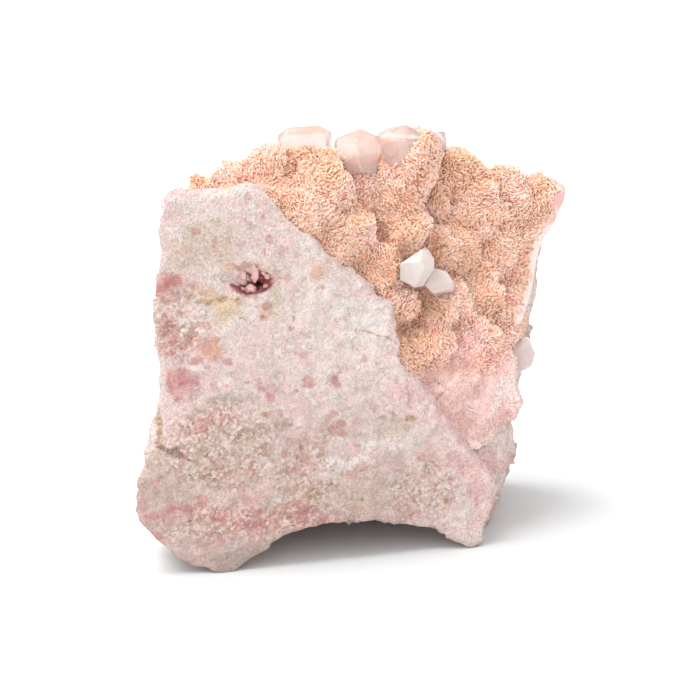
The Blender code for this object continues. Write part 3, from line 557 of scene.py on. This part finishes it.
def rock_finish():
    """Chalky warm white, crumbly and finely stroked, with soft drifts of pink and the marked areas."""
    new, shader, start, place = start_material("chalky_pink_rock")
    turned = place.node("Mapping", inputs={"Vector": place, "Rotation": (0, STROKE_RISE, 0)})
    drawn_out = place.node("Mapping", inputs={"Vector": turned, "Scale": (0.28, 1, 1)})
    shaken, jittered = (place.node("VectorMath", {"operation": "MULTIPLY_ADD"}, {
        0: place.node("TexNoise", inputs={"Vector": place, "Scale": 1 / size}, output="Color"),
        1: (reach,) * 3, 2: place}) for size, reach in ((0.7, 0.6), (0.5, 0.3)))
    crystals = place.node("TexVoronoi", inputs={"Vector": shaken, "Scale": 1 / 1.3}, output="Color")
    crumbs = place.node("TexVoronoi", inputs={"Vector": jittered, "Scale": 1 / 0.42}, output="Distance")
    pieces = place.node("TexVoronoi", inputs={"Vector": jittered, "Scale": 1 / 0.5}, output="Color")
    stroke, fine = grain(drawn_out, 0.75, 4, 0.6), grain(place, 0.45, 4, 0.65)
    broad, middle, crumble = grain(place, 9) - 0.5, grain(place, 2.2) - 0.5, fine - 0.5
    edge = (grain(place, 0.7, 2) - 0.5) * 0.6 + crumble * 0.5
    halves = middle.clipped(-0.15, 0.15)
    area = {name: (attribute(start, name) + edge * ragged).clipped(outer, inner)
            for name, (ragged, outer, inner) in OUTLINES.items()}

    # painted shade: the front is painted darker towards its bottom, below 34 mm and left of x = 20 mm
    low = place.node("SeparateXYZ", inputs={0: place}, output="Z").clipped(34, 8)
    low = low * place.node("SeparateXYZ", inputs={0: place}, output="X").clipped(20, 3)
    flakes = (grain(turned, 1.6, 6, 0.72) + broad * 0.3).clipped(0.5, 0.6)
    pinker = (crystals + area["rose"] * 0.24 + middle * 0.3 + edge * 0.2).clipped(0.76, 0.88)
    busy = (attribute(start, "busy") + broad * 4).clipped(0.8, -1.0)
    away = (attribute(start, "off_front") + broad * 4).clipped(0.6, 2.4)
    # painted shade in the low gaps between the crumbs
    painted_crumb_shade = (crumbs + crumble * 0.5).clipped(0.45, 0.85)
    kinds = pieces + middle * 0.6 + edge * 0.3
    crumbled = mixed(kinds.clipped(0.28, 0.36), (168, 132, 116), (212, 176, 150))
    for first, last, paint in CRUMB_KINDS:
        crumbled = mixed(kinds.clipped(first, last), crumbled, paint)
    granular = mixed((grain(shaken, 0.9, 3) + crumble * 0.6).clipped(0.56, 0.7) * 0.45,
                     mixed(halves, (250, 224, 219), (246, 205, 202)), (224, 170, 152))
    # the broken sides and back: their own whitish pink, made paler still with painted light where they face
    # away from the key lamp
    side = mixed((grain(place, 6, 4) + crumble * 0.5).clipped(0.42, 0.62), (254, 240, 235),
                 (240, 192, 187))
    side = mixed((middle + crumble * 0.8).clipped(0, 0.25) * 0.35, side, (226, 158, 156))
    layers = (  # from the bottom up: how much of each there is, and its colour
        ((stroke + crumble * 0.8).clipped(0.44, 0.74) * 0.8, (252, 243, 238)),
        ((grain(drawn_out, 1.5, 4) + crumble * 0.9).clipped(0.5, 0.78) * 0.55, (212, 178, 166)),
        (flakes * 0.6, (252, 242, 237)),
        (area["beige"] * 0.65, mixed(fine.clipped(0.4, 0.6), (212, 190, 168), (236, 220, 202))),
        # painted shade towards the bottom of the front
        (low * (middle.clipped(-0.2, 0.2) * 0.4 + 0.35), (198, 170, 160)),
        (area["rose"] * 0.8, mixed(halves, (198, 114, 120), (226, 172, 168))),
        (pinker * 0.42, mixed(halves, (206, 134, 128), (228, 176, 166))),
        (area["tan"] * 0.6, (238, 208, 162)),
        (area["peach"] * 0.65, (236, 188, 160)),
        (area["grey"] * 0.6, (172, 156, 142)),
        (area["salmon"] * 0.6, mixed((middle + crumble * 0.5).clipped(-0.2, 0.2), (196, 118, 114),
                                     (220, 162, 152))),
        (busy * (middle.clipped(-0.1, 0.1) * 0.35 + 0.3), crumbled),
        # crushed white, and painted highlight along the proud edges
        (area["bruise_and_highlight"] * (stroke.clipped(0.35, 0.6) * 0.5 + 0.25), (248, 240, 235)),
        (area["streak"] * 0.7, (98, 88, 84)),
        (area["beside"] * 0.9, granular),
        # the sides' own colour, with painted light
        (away * 0.85, side),
        (area["ochre"] * 0.7, mixed(fine.clipped(0.4, 0.62), (150, 112, 80), (206, 172, 126))),
        # painted shade between the crumbs
        (painted_crumb_shade * (busy * 0.25 + 0.2), (190, 144, 130)),
        # painted shade inside the hollow, deep red
        (area["hollow"] * 0.95, mixed(halves, (132, 56, 62), (186, 112, 108))))
    colour = mixed((broad + middle * 0.5).clipped(-0.14, 0.16), (247, 226, 218), (246, 211, 207))
    for amount, paint in layers:
        colour = mixed(amount, colour, paint)
    relief = fine + stroke * 1.6 + grain(place, 1.2, 2) * 0.8 - crumbs * 0.7 + flakes * 0.25
    bump = place.node("Bump", inputs={"Height": relief, "Strength": 1.0, "Distance": 0.42 * MM})
    start.plug(shader, {"Base Color": colour, "Normal": bump, "Roughness": 0.85,
                        "Specular IOR Level": 0.25})
    return new


rock = make_rock()
rock.data.materials.append(rock_finish())
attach(rock, "root")
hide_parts("rhodochrosite_mass")

# ============================================================
# The druse: a crust that grew on the vein's wall, in round lumps of very many thin blades of manganese
# and calcium carbonate, tan to peach, brown where they meet and cream at their tips; the brown is partly
# stain and partly painted shade.
# Its bed is one surface, and the blades stand on it in sheaves, one mesh for each third of them by height.
# ============================================================
CRUST_FOOT = 14.0
CRYSTAL_NODES = ("clear_crystal_pair", "top_crystal_left", "top_crystal_twin", "top_crystal_small",
                 "edge_crystal")  # no blades grow where these stand
# the druse's lumps: the middle and radius of each
LUMPS = ((-17.3, -0.8, 54.8, 4.0), (-22.0, -2.2, 54.4, 2.6), (-12.5, -0.3, 57.2, 3.2),
         (-7.0, 3.1, 56.3, 3.6), (-4.0, -0.3, 54.6, 5.2), (3.8, 4.8, 53.8, 4.1), (10.1, 14.4, 55.0, 3.8),
         (16.2, 15.3, 52.4, 4.4), (23.7, 17.0, 49.6, 4.3), (30.2, 18.4, 49.3, 4.2),
         (28.7, 17.0, 43.6, 3.8), (19.0, 13.0, 47.0, 5.2), (12.6, 10.1, 50.3, 3.6),
         (-6.8, -6.2, 51.3, 3.6), (-0.2, -1.8, 48.0, 4.2), (7.3, 3.9, 45.7, 4.2),
         (14.9, 7.9, 43.2, 4.2), (21.9, 12.6, 41.1, 3.9), (26.4, 14.6, 38.8, 3.2),
         (4.2, -0.7, 42.3, 3.6), (7.3, -1.5, 36.8, 3.2), (14.1, 2.7, 34.0, 4.2),
         (19.5, 8.5, 36.2, 3.9), (23.7, 10.1, 33.1, 3.9), (12.5, -0.9, 29.6, 4.2),
         (18.4, 3.4, 29.1, 4.2), (24.0, 8.1, 29.5, 2.6), (22.0, 3.8, 24.3, 4.5),
         (23.6, 4.5, 20.5, 3.6), (15.4, -1.4, 25.0, 3.2), (19.7, 0.8, 20.1, 3.2),
         (10.8, 6.4, 56.6, 3.5), (10.4, 4.6, 58.6, 3.3))
EDGE_LUMPS = (26, 27, 28)                    # the lumps that reach over the right edge
CRUST_CELLS = (118, 118, 118)
FRONT_SETBACK = 1.0                          # the druse starts this far behind the front face
CRUST_UNDER, NARROWING = 2.6, 1.5            # deeper than this under the vein wall it draws in, and how fast
KNUCKLE_SIZE, KNUCKLE_HEIGHT = 4.0, 0.8      # the swellings on the lumps
DRUSE_LOOKS = np.array((0.62, -0.26, 0.74))  # the way that most of the druse faces
GATHER = 0.42                                # how much denser the bed's grid is on that side
BED_DEPTH = 0.55                             # the bed lies this far below the tips' mean surface
KNOB_SIZE, KNOB_HEIGHT = 1.9, 0.65           # the small knobs on those swellings
BLADES = 26000
BLADE_SHARES = (("druse_blades_low", 0.33), ("druse_blades_middle", 0.66), ("druse_blades_top", 1.0))
BLADE_SIZE = (0.78, 0.68, 0.22)              # length, width and thickness
BLADE_SUNK = 0.48                            # share of a blade's length that is in the bed
BLADE_CORNERS = 12                           # six at the foot and six at the tip
# a blade's faces by its corners: two broad ones in halves, then the foot, the tip and the two edges
BLADE_FACES = np.array(((0, 3, 4, 1), (1, 4, 5, 2), (6, 7, 10, 9), (7, 8, 11, 10), (0, 1, 7, 6),
                        (1, 2, 8, 7), (3, 9, 10, 4), (4, 10, 11, 5), (0, 6, 9, 3), (2, 5, 11, 8)))
SHEAF = 2.3                                  # blades within a cell of this size lie nearly parallel
LUMP_MERGE, LUMP_BEND = 0.6, 1.3             # how softly the lumps meet, and how far from round they are
BARE_RIM, BARE_RIGHT = 1.2, 2.2              # no blades stand this near to a broken side
BARE_ABOVE = 31.0                            # above this height; below it they reach the side
PINK_SPARED = 0.5                            # share of the blades that is missing where pink shows
CRYSTAL_REACH = 0.62                         # no blades stand within this share of a crystal's box
SIZE_LEAST, SIZE_MOST = (0.6, 0.5, 0.7), (1.35, 1.45, 1.3)  # of a blade, in shares of BLADE_SIZE
TO_GROWTH, TO_SHEAF, TO_OWN = 0.3, 0.45, 0.3  # how much a blade leans to the growth, its sheaf and itself
# where massive pink shows in the druse: the middle and radius of each spot
PINK_SPOTS = ((-1.5, 2.0, 55.5, 3.0), (3.5, -2.5, 47.5, 2.6), (22, 3.8, 24, 7.0), (17, 0.5, 29, 4.5),
              (23, 10.0, 33, 3.5), (-10.0, -1.0, 53.0, 2.5), (14.0, -1.0, 24, 4.0))


def lump_distances(points):
    """Distance to each lump, one row for each, negative inside: balls seen from points that a noise has
    moved."""
    lumps = np.array(LUMPS)
    bent = points + LUMP_BEND * swells(points, 4.0, 44)
    return (np.linalg.norm(bent[:, None] - lumps[:, :3], axis=2) - lumps[:, 3]).T


def crust(points):
    """The druse: a bed over the vein wall with lumps on it. Below the bed it narrows, to stay inside."""
    w = warp(points)
    wall = vein_wall(w)
    near_top = np.clip((wall + 4) / 3, 0, 1)
    inner = np.clip(-wall - CRUST_UNDER, 0, 12)
    front = front_break(w) + FRONT_SETBACK * (1 - low_part(points) * near_top) + NARROWING * inner
    balls = lump_distances(points)
    knuckles = KNUCKLE_HEIGHT * np.clip(1 - (cells(points, KNUCKLE_SIZE, 21)[0] / 0.75)**2, 0, 1)
    surface = smooth_min([wall + 0.9, *balls], LUMP_MERGE) + 0.3 - knuckles
    sides = smooth_max(side_breaks(w, 0.4) + [CRUST_FOOT - points[:, 2]], 0.5)
    sides += 0.5 * inner
    edge_foot = CRUST_FOOT + 1 - points[:, 2]
    over_edge = smooth_min([smooth_max([balls[k], edge_foot], 0.4) for k in EDGE_LUMPS], 0.4)
    return smooth_min([smooth_max([sides, front, surface], 0.3), smooth_max([over_edge, front], 0.3)], 0.3)


def gathered(directions, towards, share):
    """Directions turned towards one of them: at an angle a from it, each goes to a - share * sin(a)."""
    axis = towards / np.linalg.norm(towards)
    cosine = np.clip(directions @ axis, -1, 1)
    angle = np.arccos(cosine)
    aside = directions - cosine[:, None] * axis
    aside /= np.maximum(np.linalg.norm(aside, axis=1), 1e-9)[:, None]
    turned = angle - share * np.sin(angle)
    return np.cos(turned)[:, None] * axis + np.sin(turned)[:, None] * aside


def crevice(points):
    """From 0 on top of a lump to 1 where two lumps meet: how near the two nearest are to a tie."""
    nearest = np.partition(lump_distances(points), 1, axis=0)[:2]
    return np.clip(1 - (nearest[1] - nearest[0]) / 2.6, 0, 1)


def pinkness(points):
    """From 0 to 1 in the parts of the druse where massive pink shows through."""
    spots = np.array(PINK_SPOTS)
    away = np.linalg.norm(points[:, None] - spots[:, :3], axis=2) / spots[:, 3]
    return np.clip(1.3 - away.min(1) + 0.3 * noise(points, 2.0, 81), 0, 1)


def to_side(points):
    """How far a point lies past the line where the blades end, near the broken sides; negative before it."""
    right = np.clip((points[:, 0] - 12) / 6, 0, 1)
    return smooth_max(side_breaks(warp(points), 0), 0.5) + BARE_RIM + (BARE_RIGHT - BARE_RIM) * right


def make_bed():
    """The bed's surface with a fine rough grain, and what its blades need to know of it."""
    grid, faces = box_grid(CRUST_CELLS)
    lines = gathered(grid / np.linalg.norm(grid, axis=1)[:, None], DRUSE_LOOKS, GATHER)
    points = cast(crust, lines)
    points = evened(points, faces, lines)
    normals = corner_normals(points, faces)
    rim = np.clip((to_side(points) + 0.3) / 0.5, 0, 1)
    bent = points + 0.6 * swells(points, 1.5, 92)
    knobs = np.clip(1 - (cells(bent, KNOB_SIZE, 29)[0] / 0.7)**2, 0, 1) * (1 - rim)
    depth = BED_DEPTH - KNOB_HEIGHT * (knobs - 0.45) + 0.4 * noise(points, 2.6, 90) * (1 - rim)
    points = points - normals * depth[:, None]
    piece = write_piece("druse_bed", points, faces, values={
        "crevice": crevice(points), "pink": pinkness(points), "low": low_part(points), "rim": rim,
        "knob": knobs})
    return piece, points, faces, corner_normals(points, faces)


def blade_feet(points, faces, normals, count, seed):
    """Evenly spread points on the part of the bed that grew freely. Faces are drawn in turn, each by its
    share of the area; a point lies at a random place on its face, and takes the face's mean normal."""
    rng = np.random.default_rng(seed)
    centre = points[faces].mean(1)
    p = points[faces]
    area = np.linalg.norm(np.cross(p[:, 2] - p[:, 0], p[:, 3] - p[:, 1]), axis=1) / 2
    w = warp(centre)
    free = (to_side(centre) < 0) | (centre[:, 2] < BARE_ABOVE)
    free &= (block(centre) > -0.3) & (centre[:, 2] > CRUST_FOOT + 1.2)
    free &= front_break(w) < -1.1 + low_part(centre)
    for node in CRYSTAL_NODES:
        low, high = (np.array(corner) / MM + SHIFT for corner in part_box(node))
        free &= np.linalg.norm((centre - (low + high) / 2) / (high - low) * 2, axis=1) > CRYSTAL_REACH
    share = np.cumsum(area * free * (1 - PINK_SPARED * pinkness(centre)))
    face = np.searchsorted(share, (np.arange(count) + rng.random(count)) / count * share[-1])
    u, v = rng.random((2, count, 1))
    a, b, c, d = np.swapaxes(p[face], 0, 1)
    at = (1 - u) * ((1 - v) * a + v * d) + u * ((1 - v) * b + v * c)
    mean = normals[faces[face]].mean(1)
    return at, mean / np.linalg.norm(mean, axis=1)[:, None]


def unit(vectors):
    """Each row at length 1."""
    return vectors / np.linalg.norm(vectors, axis=1)[:, None]


def growth(points):
    """The way that the druse grew: outwards from the vein wall, as the slope of its distance."""
    steps = 1.5 * np.eye(3)
    return unit(np.stack([vein_wall(points + step) - vein_wall(points - step) for step in steps], -1))


def make_blades(name, feet, upright, seed):
    """Bent plates. Corner = foot + length * axis + width * side + (thickness + bend) * across, at three
    places across the width; the axis leans from the surface's normal by its sheaf's lean and a little of
    its own, and the bend is greatest in the middle."""
    rng = np.random.default_rng(seed)
    count = len(feet)
    lean, turn = cells(feet, SHEAF, 33)[2], cells(feet, SHEAF, 37)[2]
    own = rng.normal(0, TO_OWN, (count, 3))
    axis = unit(upright + TO_GROWTH * growth(feet) + TO_SHEAF * lean + own)
    across = turn + 0.6 * swells(feet, 5.0, 34)
    across = unit(np.cross(axis, across + rng.normal(0, 0.25, (count, 3))))
    side = np.cross(across, axis)
    size = np.array(BLADE_SIZE) * rng.uniform(SIZE_LEAST, SIZE_MOST, (count, 3))
    size *= (1 - 0.5 * low_part(feet))[:, None]
    slant, narrow = rng.uniform(-0.25, 0.25, count), rng.uniform(0.55, 0.9, count)
    bend = rng.uniform(-0.3, 0.3, count)
    corners = []
    for along, at_tip in ((-BLADE_SUNK, 0), (1 - BLADE_SUNK, 1)):
        for t in (-0.5, 0.5):
            for s in (-0.5, 0.0, 0.5):
                length = along + at_tip * (0.12 if s == 0 else slant * s)
                wide = s * (narrow if at_tip else 1)
                thick = t * (0.55 if at_tip else 1)
                corners.append(feet + axis * (size[:, 0] * length)[:, None]
                               + side * (size[:, 1] * wide)[:, None]
                               + across * (size[:, 2] * thick + size[:, 1] * bend * (s == 0))[:, None])
    points = np.stack(corners, 1).reshape(-1, 3)
    faces = (BLADE_FACES + BLADE_CORNERS * np.arange(count)[:, None, None]).reshape(-1, 4)
    each = {"crevice": crevice(feet), "pink": pinkness(feet), "low": low_part(feet),
            "tone": rng.random(count)}
    values = {key: np.repeat(value, BLADE_CORNERS) for key, value in each.items()}
    values["tip"] = np.tile(np.repeat((0.0, 1.0), BLADE_CORNERS // 2), count)
    return write_piece(name, points, faces, smooth=False, values=values)


def druse_finish(name, bladed):
    """Orange-tan at the root and cream at the tip, browner in the crevices and pinker in the pink parts;
    the browner roots and crevices are partly stain and partly painted shade, and the bed is paler on its
    raised knobs, out of that shade. The bed's broken rim is pale pink rock."""
    new, shader, start, place = start_material(name)
    fine = grain(place, 0.5, 3)
    crumble = fine - 0.5
    # partly stain and partly painted shade where the lumps meet
    crevice_stain_and_shade = (attribute(start, "crevice") + crumble * 0.7).clipped(0.2, 1.1)
    pink = (attribute(start, "pink") + crumble * 0.5).clipped(0.1, 0.9)
    patch = (grain(place, 6.5, 3) + (grain(place, 2.0) - 0.5) * 0.5).clipped(0.38, 0.62)
    low = attribute(start, "low")
    root = mixed(patch, (250, 188, 164), (232, 166, 128))
    root = mixed(crevice_stain_and_shade, root, (208, 138, 112))
    root = mixed(pink, root, (252, 198, 192))
    root = mixed(low, root, mixed(patch, (238, 198, 190), (228, 176, 170)))
    if bladed:
        tip = mixed(patch, (255, 232, 220), (250, 216, 188))
        tip = mixed(attribute(start, "tone") * 0.6, tip, (254, 210, 190))
        tip = mixed(pink, tip, (255, 226, 222))
        tip = mixed(crevice_stain_and_shade * 0.5, tip, (242, 192, 168))
        tip = mixed(low, tip, (246, 220, 214))
        # from the root to the tip: the browner roots are partly stain and partly painted shade among the
        # blades
        colour = mixed((attribute(start, "tip") + crumble * 0.5).clipped(0.2, 1.0), root, tip)
    else:
        rock = mixed((grain(place, 5, 4) + crumble * 0.5).clipped(0.45, 0.6), (250, 234, 228),
                     (240, 190, 184))
        speck = (grain(place, 0.9, 3) + crumble * 0.6).clipped(0.56, 0.7)
        # paler on the raised knobs, out of the painted shade
        colour = mixed(attribute(start, "knob") * 0.5, root, (254, 220, 202))
        colour = mixed(low, colour, mixed(speck * 0.5, (246, 212, 206), (220, 164, 148)))
        colour = mixed(attribute(start, "rim"), colour, rock)
    relief = (0.12 if bladed else 0.3) * MM
    bump = place.node("Bump", inputs={"Height": fine, "Strength": 0.8, "Distance": relief})
    start.plug(shader, {"Base Color": colour, "Normal": bump, "Roughness": 0.7,
                        "Specular IOR Level": 0.3, "Subsurface Weight": 0.25,
                        "Subsurface Radius": (1.0, 0.5, 0.35), "Subsurface Scale": 0.5 * MM})
    return new


bed, bed_points, bed_faces, bed_normals = make_bed()
bed.data.materials.append(druse_finish("druse_bed", False))
druse = [bed]
feet, upright = blade_feet(bed_points, bed_faces, bed_normals, BLADES, 7)
by_height = np.argsort(feet[:, 2])
blade_look = druse_finish("druse_blade", True)
first = 0
for seed, (name, share) in enumerate(BLADE_SHARES):
    some = by_height[first:int(share * BLADES)]
    first = int(share * BLADES)
    druse.append(make_blades(name, feet[some], upright[some], 8 + seed))
    druse[-1].data.materials.append(blade_look)
for piece in druse:
    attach(piece, "root")
    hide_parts("drusy_crust")

# ============================================================
# The clear crystals: a few cloudy, slightly pink crystals that stand on the druse. They keep the shapes
# of the solids; their edges are softened and they are see-through, with a frosted surface.
# ============================================================
EDGE_WIDTH, EDGE_STEPS, EDGE_ANGLE = 0.4 * MM, 3, math.radians(12)
CLEARER_CRYSTALS = ("top_crystal_left", "top_crystal_twin", "top_crystal_small")


def crystal_finish(name, clear, pale, rosy):
    """Cloudy crystal: see-through by the share given, its milky body drifting from pale to rosy."""
    new, shader, start, place = start_material(name)
    cloud = grain(place, 2.2, 4)
    colour = mixed(cloud.clipped(0.35, 0.65), pale, rosy)
    bump = place.node("Bump", inputs={"Height": cloud, "Strength": 0.6, "Distance": 0.35 * MM})
    start.plug(shader, {"Base Color": colour, "Normal": bump, "Roughness": 0.2,
                        "Transmission Weight": clear, "IOR": 1.5, "Subsurface Weight": 0.6,
                        "Subsurface Radius": (1.0, 0.75, 0.7), "Subsurface Scale": 2.0 * MM})
    return new


cloudy = crystal_finish("cloudy_crystal", 0.5, (252, 242, 238), (252, 230, 224))
clearer = crystal_finish("clearer_crystal", 0.7, (252, 240, 236), (252, 226, 220))
for node in CRYSTAL_NODES:
    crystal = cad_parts[node]
    crystal.data.materials.clear()
    crystal.data.materials.append(clearer if node in CLEARER_CRYSTALS else cloudy)
    weld = crystal.modifiers.new("weld", "WELD")
    weld.merge_threshold = 0.01 * MM
    soften = crystal.modifiers.new("soften", "BEVEL")
    soften.width, soften.segments, soften.angle_limit = EDGE_WIDTH, EDGE_STEPS, EDGE_ANGLE
    soften.harden_normals = True
    crystal.data.polygons.foreach_set("use_smooth", [True] * len(crystal.data.polygons))

# ============================================================
# The hollow's crystals: rose-pink teeth that grew inwards from its walls. Those in front are pale, one of
# them blunt and one pointed; the others stand behind them in shade, painted deep rose as painted shade.
# ============================================================
# each tooth: foot and tip from the hollow's middle, width at the foot, and the share of it left at the tip
HOLLOW_TEETH = (
    ((-1.1, 0.45, 2.5), (-1.0, 0.2, 0.45), 1.2, 0.7), ((0.6, 0.8, 2.5), (0.65, 0.5, -0.3), 1.5, 0.1),
    ((0.05, 0.6, -2.3), (0.0, 0.3, -0.4), 1.9, 0.15), ((-2.6, 0.5, 1.4), (-2.0, 0.2, 0.2), 1.3, 0.3),
    ((-2.7, 0.3, -0.9), (-1.9, 0.1, -0.4), 1.1, 0.4), ((2.7, 0.8, 0.9), (2.2, 0.6, 0.3), 1.0, 0.3),
    ((2.6, 0.9, -1.3), (2.0, 0.8, -0.6), 1.2, 0.3), ((-1.3, 0.6, -1.7), (-1.1, 0.3, -0.9), 1.0, 0.3),
    ((-1.8, 0.5, 1.9), (-1.7, 0.3, 0.8), 1.0, 0.4), ((0.1, 0.7, 2.1), (0.1, 0.5, 0.9), 1.0, 0.3),
    ((2.0, 0.7, 1.8), (2.0, 0.6, 0.8), 0.9, 0.3), ((-1.4, 1.7, 0.4), (-1.2, 1.2, 0.2), 1.4, 0.4),
    ((1.6, 1.9, 0.3), (1.5, 1.3, -0.1), 1.5, 0.4), ((0.1, 1.9, 0.8), (0.1, 1.3, 0.4), 1.5, 0.3))
TOOTH_SIDES, SHOULDER_AT = 6, 0.72


def make_teeth():
    """Six-sided teeth, a profile carried along a line: at the foot, at the shoulder and at the tip a
    ring of six corners around the line, with its own radius, and a face across each end."""
    teeth = np.array([(*foot, *tip, width, left) for foot, tip, width, left in HOLLOW_TEETH])
    foot, tip, width, left = teeth[:, :3], teeth[:, 3:6], teeth[:, 6], teeth[:, 7]
    axis = unit(tip - foot)
    side = unit(np.cross(axis, (0.3, 1.0, 0.2)))
    other = np.cross(axis, side)
    angle = np.arange(TOOTH_SIDES) * 2 * math.pi / TOOTH_SIDES + 0.4
    rings = []
    for along, radius in ((0.0, width / 2), (SHOULDER_AT, width * 0.44), (1.0, width / 2 * left)):
        middle = HOLLOW_AT + foot + (tip - foot) * along
        round_it = (side[:, None] * np.cos(angle)[:, None] + other[:, None] * np.sin(angle)[:, None])
        rings.append(middle[:, None] + round_it * radius[:, None, None])
    points = np.stack(rings, 1).reshape(-1, 3)
    k = np.arange(TOOTH_SIDES)
    wall = np.stack([k, (k + 1) % TOOTH_SIDES, (k + 1) % TOOTH_SIDES + TOOTH_SIDES, k + TOOTH_SIDES], -1)
    foot_cap = np.array(((3, 2, 1, 0), (5, 4, 3, 0)))
    tip_cap = np.array(((0, 1, 2, 3), (0, 3, 4, 5))) + 2 * TOOTH_SIDES
    one = np.concatenate([wall, wall + TOOTH_SIDES, foot_cap, tip_cap])
    faces = (one + 3 * TOOTH_SIDES * np.arange(len(teeth))[:, None, None]).reshape(-1, 4)
    # how far back each tooth stands, which the material turns into painted shade
    depth = np.repeat(foot[:, 1], 3 * TOOTH_SIDES)
    return write_piece("hollow_teeth", points, faces, smooth=False, values={"depth": depth})


def rose_finish():
    """Glassy, pale pink in front, and deep rose behind as painted shade."""
    new, shader, start, place = start_material("rose_teeth")
    # painted shade: the further back a tooth stands, the deeper its rose
    deep = (attribute(start, "depth") + (grain(place, 0.8, 2) - 0.5) * 0.4).clipped(0.75, 1.3)
    colour = mixed(deep, (226, 180, 174), (160, 74, 78))
    start.plug(shader, {"Base Color": colour, "Roughness": 0.3, "Subsurface Weight": 0.3,
                        "Subsurface Radius": (1.0, 0.4, 0.4), "Subsurface Scale": 0.8 * MM})
    return new


teeth = make_teeth()
teeth.data.materials.append(rose_finish())
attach(teeth, "root")
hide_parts("vug_crystals")

# ============================================================
# The stage: a plain white floor, soft white light from all round with a large soft lamp at the upper
# left, and the camera, which looks down a little at the front.
# ============================================================
FLOOR_HALF, FLOOR_WHITE = 6.0, (0.745, 0.765, 0.768, 1)  # metres, and a little cool
LAMPS = (("key", (-0.34, -0.02, 0.94), 38.0, 2.3),   # name, where it shines from, spread and strength
         ("fill", (-0.45, -0.85, 0.28), 60.0, 0.9))
WORLD_STRENGTH = 0.9
CAMERA_RISE, CAMERA_AWAY = 16.0, 450.0
LOOKED_AT = np.array((0.0, 0.0, 29.2))
SENSOR, SHOWN_WIDTH = 36.0, 105.0  # the sensor, and the width of the view where the camera looks


def make_floor():
    """A square sheet, its two parameters running from -1 to 1."""
    u, v = np.meshgrid((-1.0, 1.0), (-1.0, 1.0))
    points = np.stack([u, v, u * 0], -1).reshape(-1, 3) * FLOOR_HALF / MM
    piece = write_piece("floor", points, np.array(((0, 1, 3, 2),)))
    new, shader, start, _ = start_material("white_floor")
    start.plug(shader, {"Base Color": FLOOR_WHITE, "Roughness": 0.9, "Specular IOR Level": 0.0})
    piece.data.materials.append(new)
    return piece


def make_lamps():
    """A very soft key light from high on the left, and a weak fill from the front."""
    for name, place, spread, strength in LAMPS:
        data = bpy.data.lights.new(name, "SUN")
        data.energy, data.angle = strength, math.radians(spread)
        lamp = bpy.data.objects.new(name, data)
        lamp.rotation_euler = Vector(place).to_track_quat("Z", "Y").to_euler()
        bpy.context.scene.collection.objects.link(lamp)


def make_camera():
    """Looks at the specimen's middle from the front, a little above it."""
    data = bpy.data.cameras.new("camera")
    data.sensor_width, data.lens = SENSOR, SENSOR * CAMERA_AWAY / SHOWN_WIDTH
    data.clip_start, data.clip_end = 0.01, 50
    camera = bpy.data.objects.new("camera", data)
    rise = math.radians(CAMERA_RISE)
    back = Vector((0, -math.cos(rise), math.sin(rise)))
    camera.location = (Vector(LOOKED_AT - SHIFT) + back * CAMERA_AWAY) * MM
    camera.rotation_euler = (-back).to_track_quat("-Z", "Y").to_euler()
    bpy.context.scene.collection.objects.link(camera)
    bpy.context.scene.camera = camera


floor = make_floor()
make_lamps()
world = bpy.data.worlds.new("studio")
world.use_nodes = True
sky = world.node_tree.nodes["Background"].inputs
sky["Color"].default_value, sky["Strength"].default_value = (1, 1, 1, 1), WORLD_STRENGTH
bpy.context.scene.world = world
bpy.context.scene.view_settings.view_transform = "Standard"
make_camera()
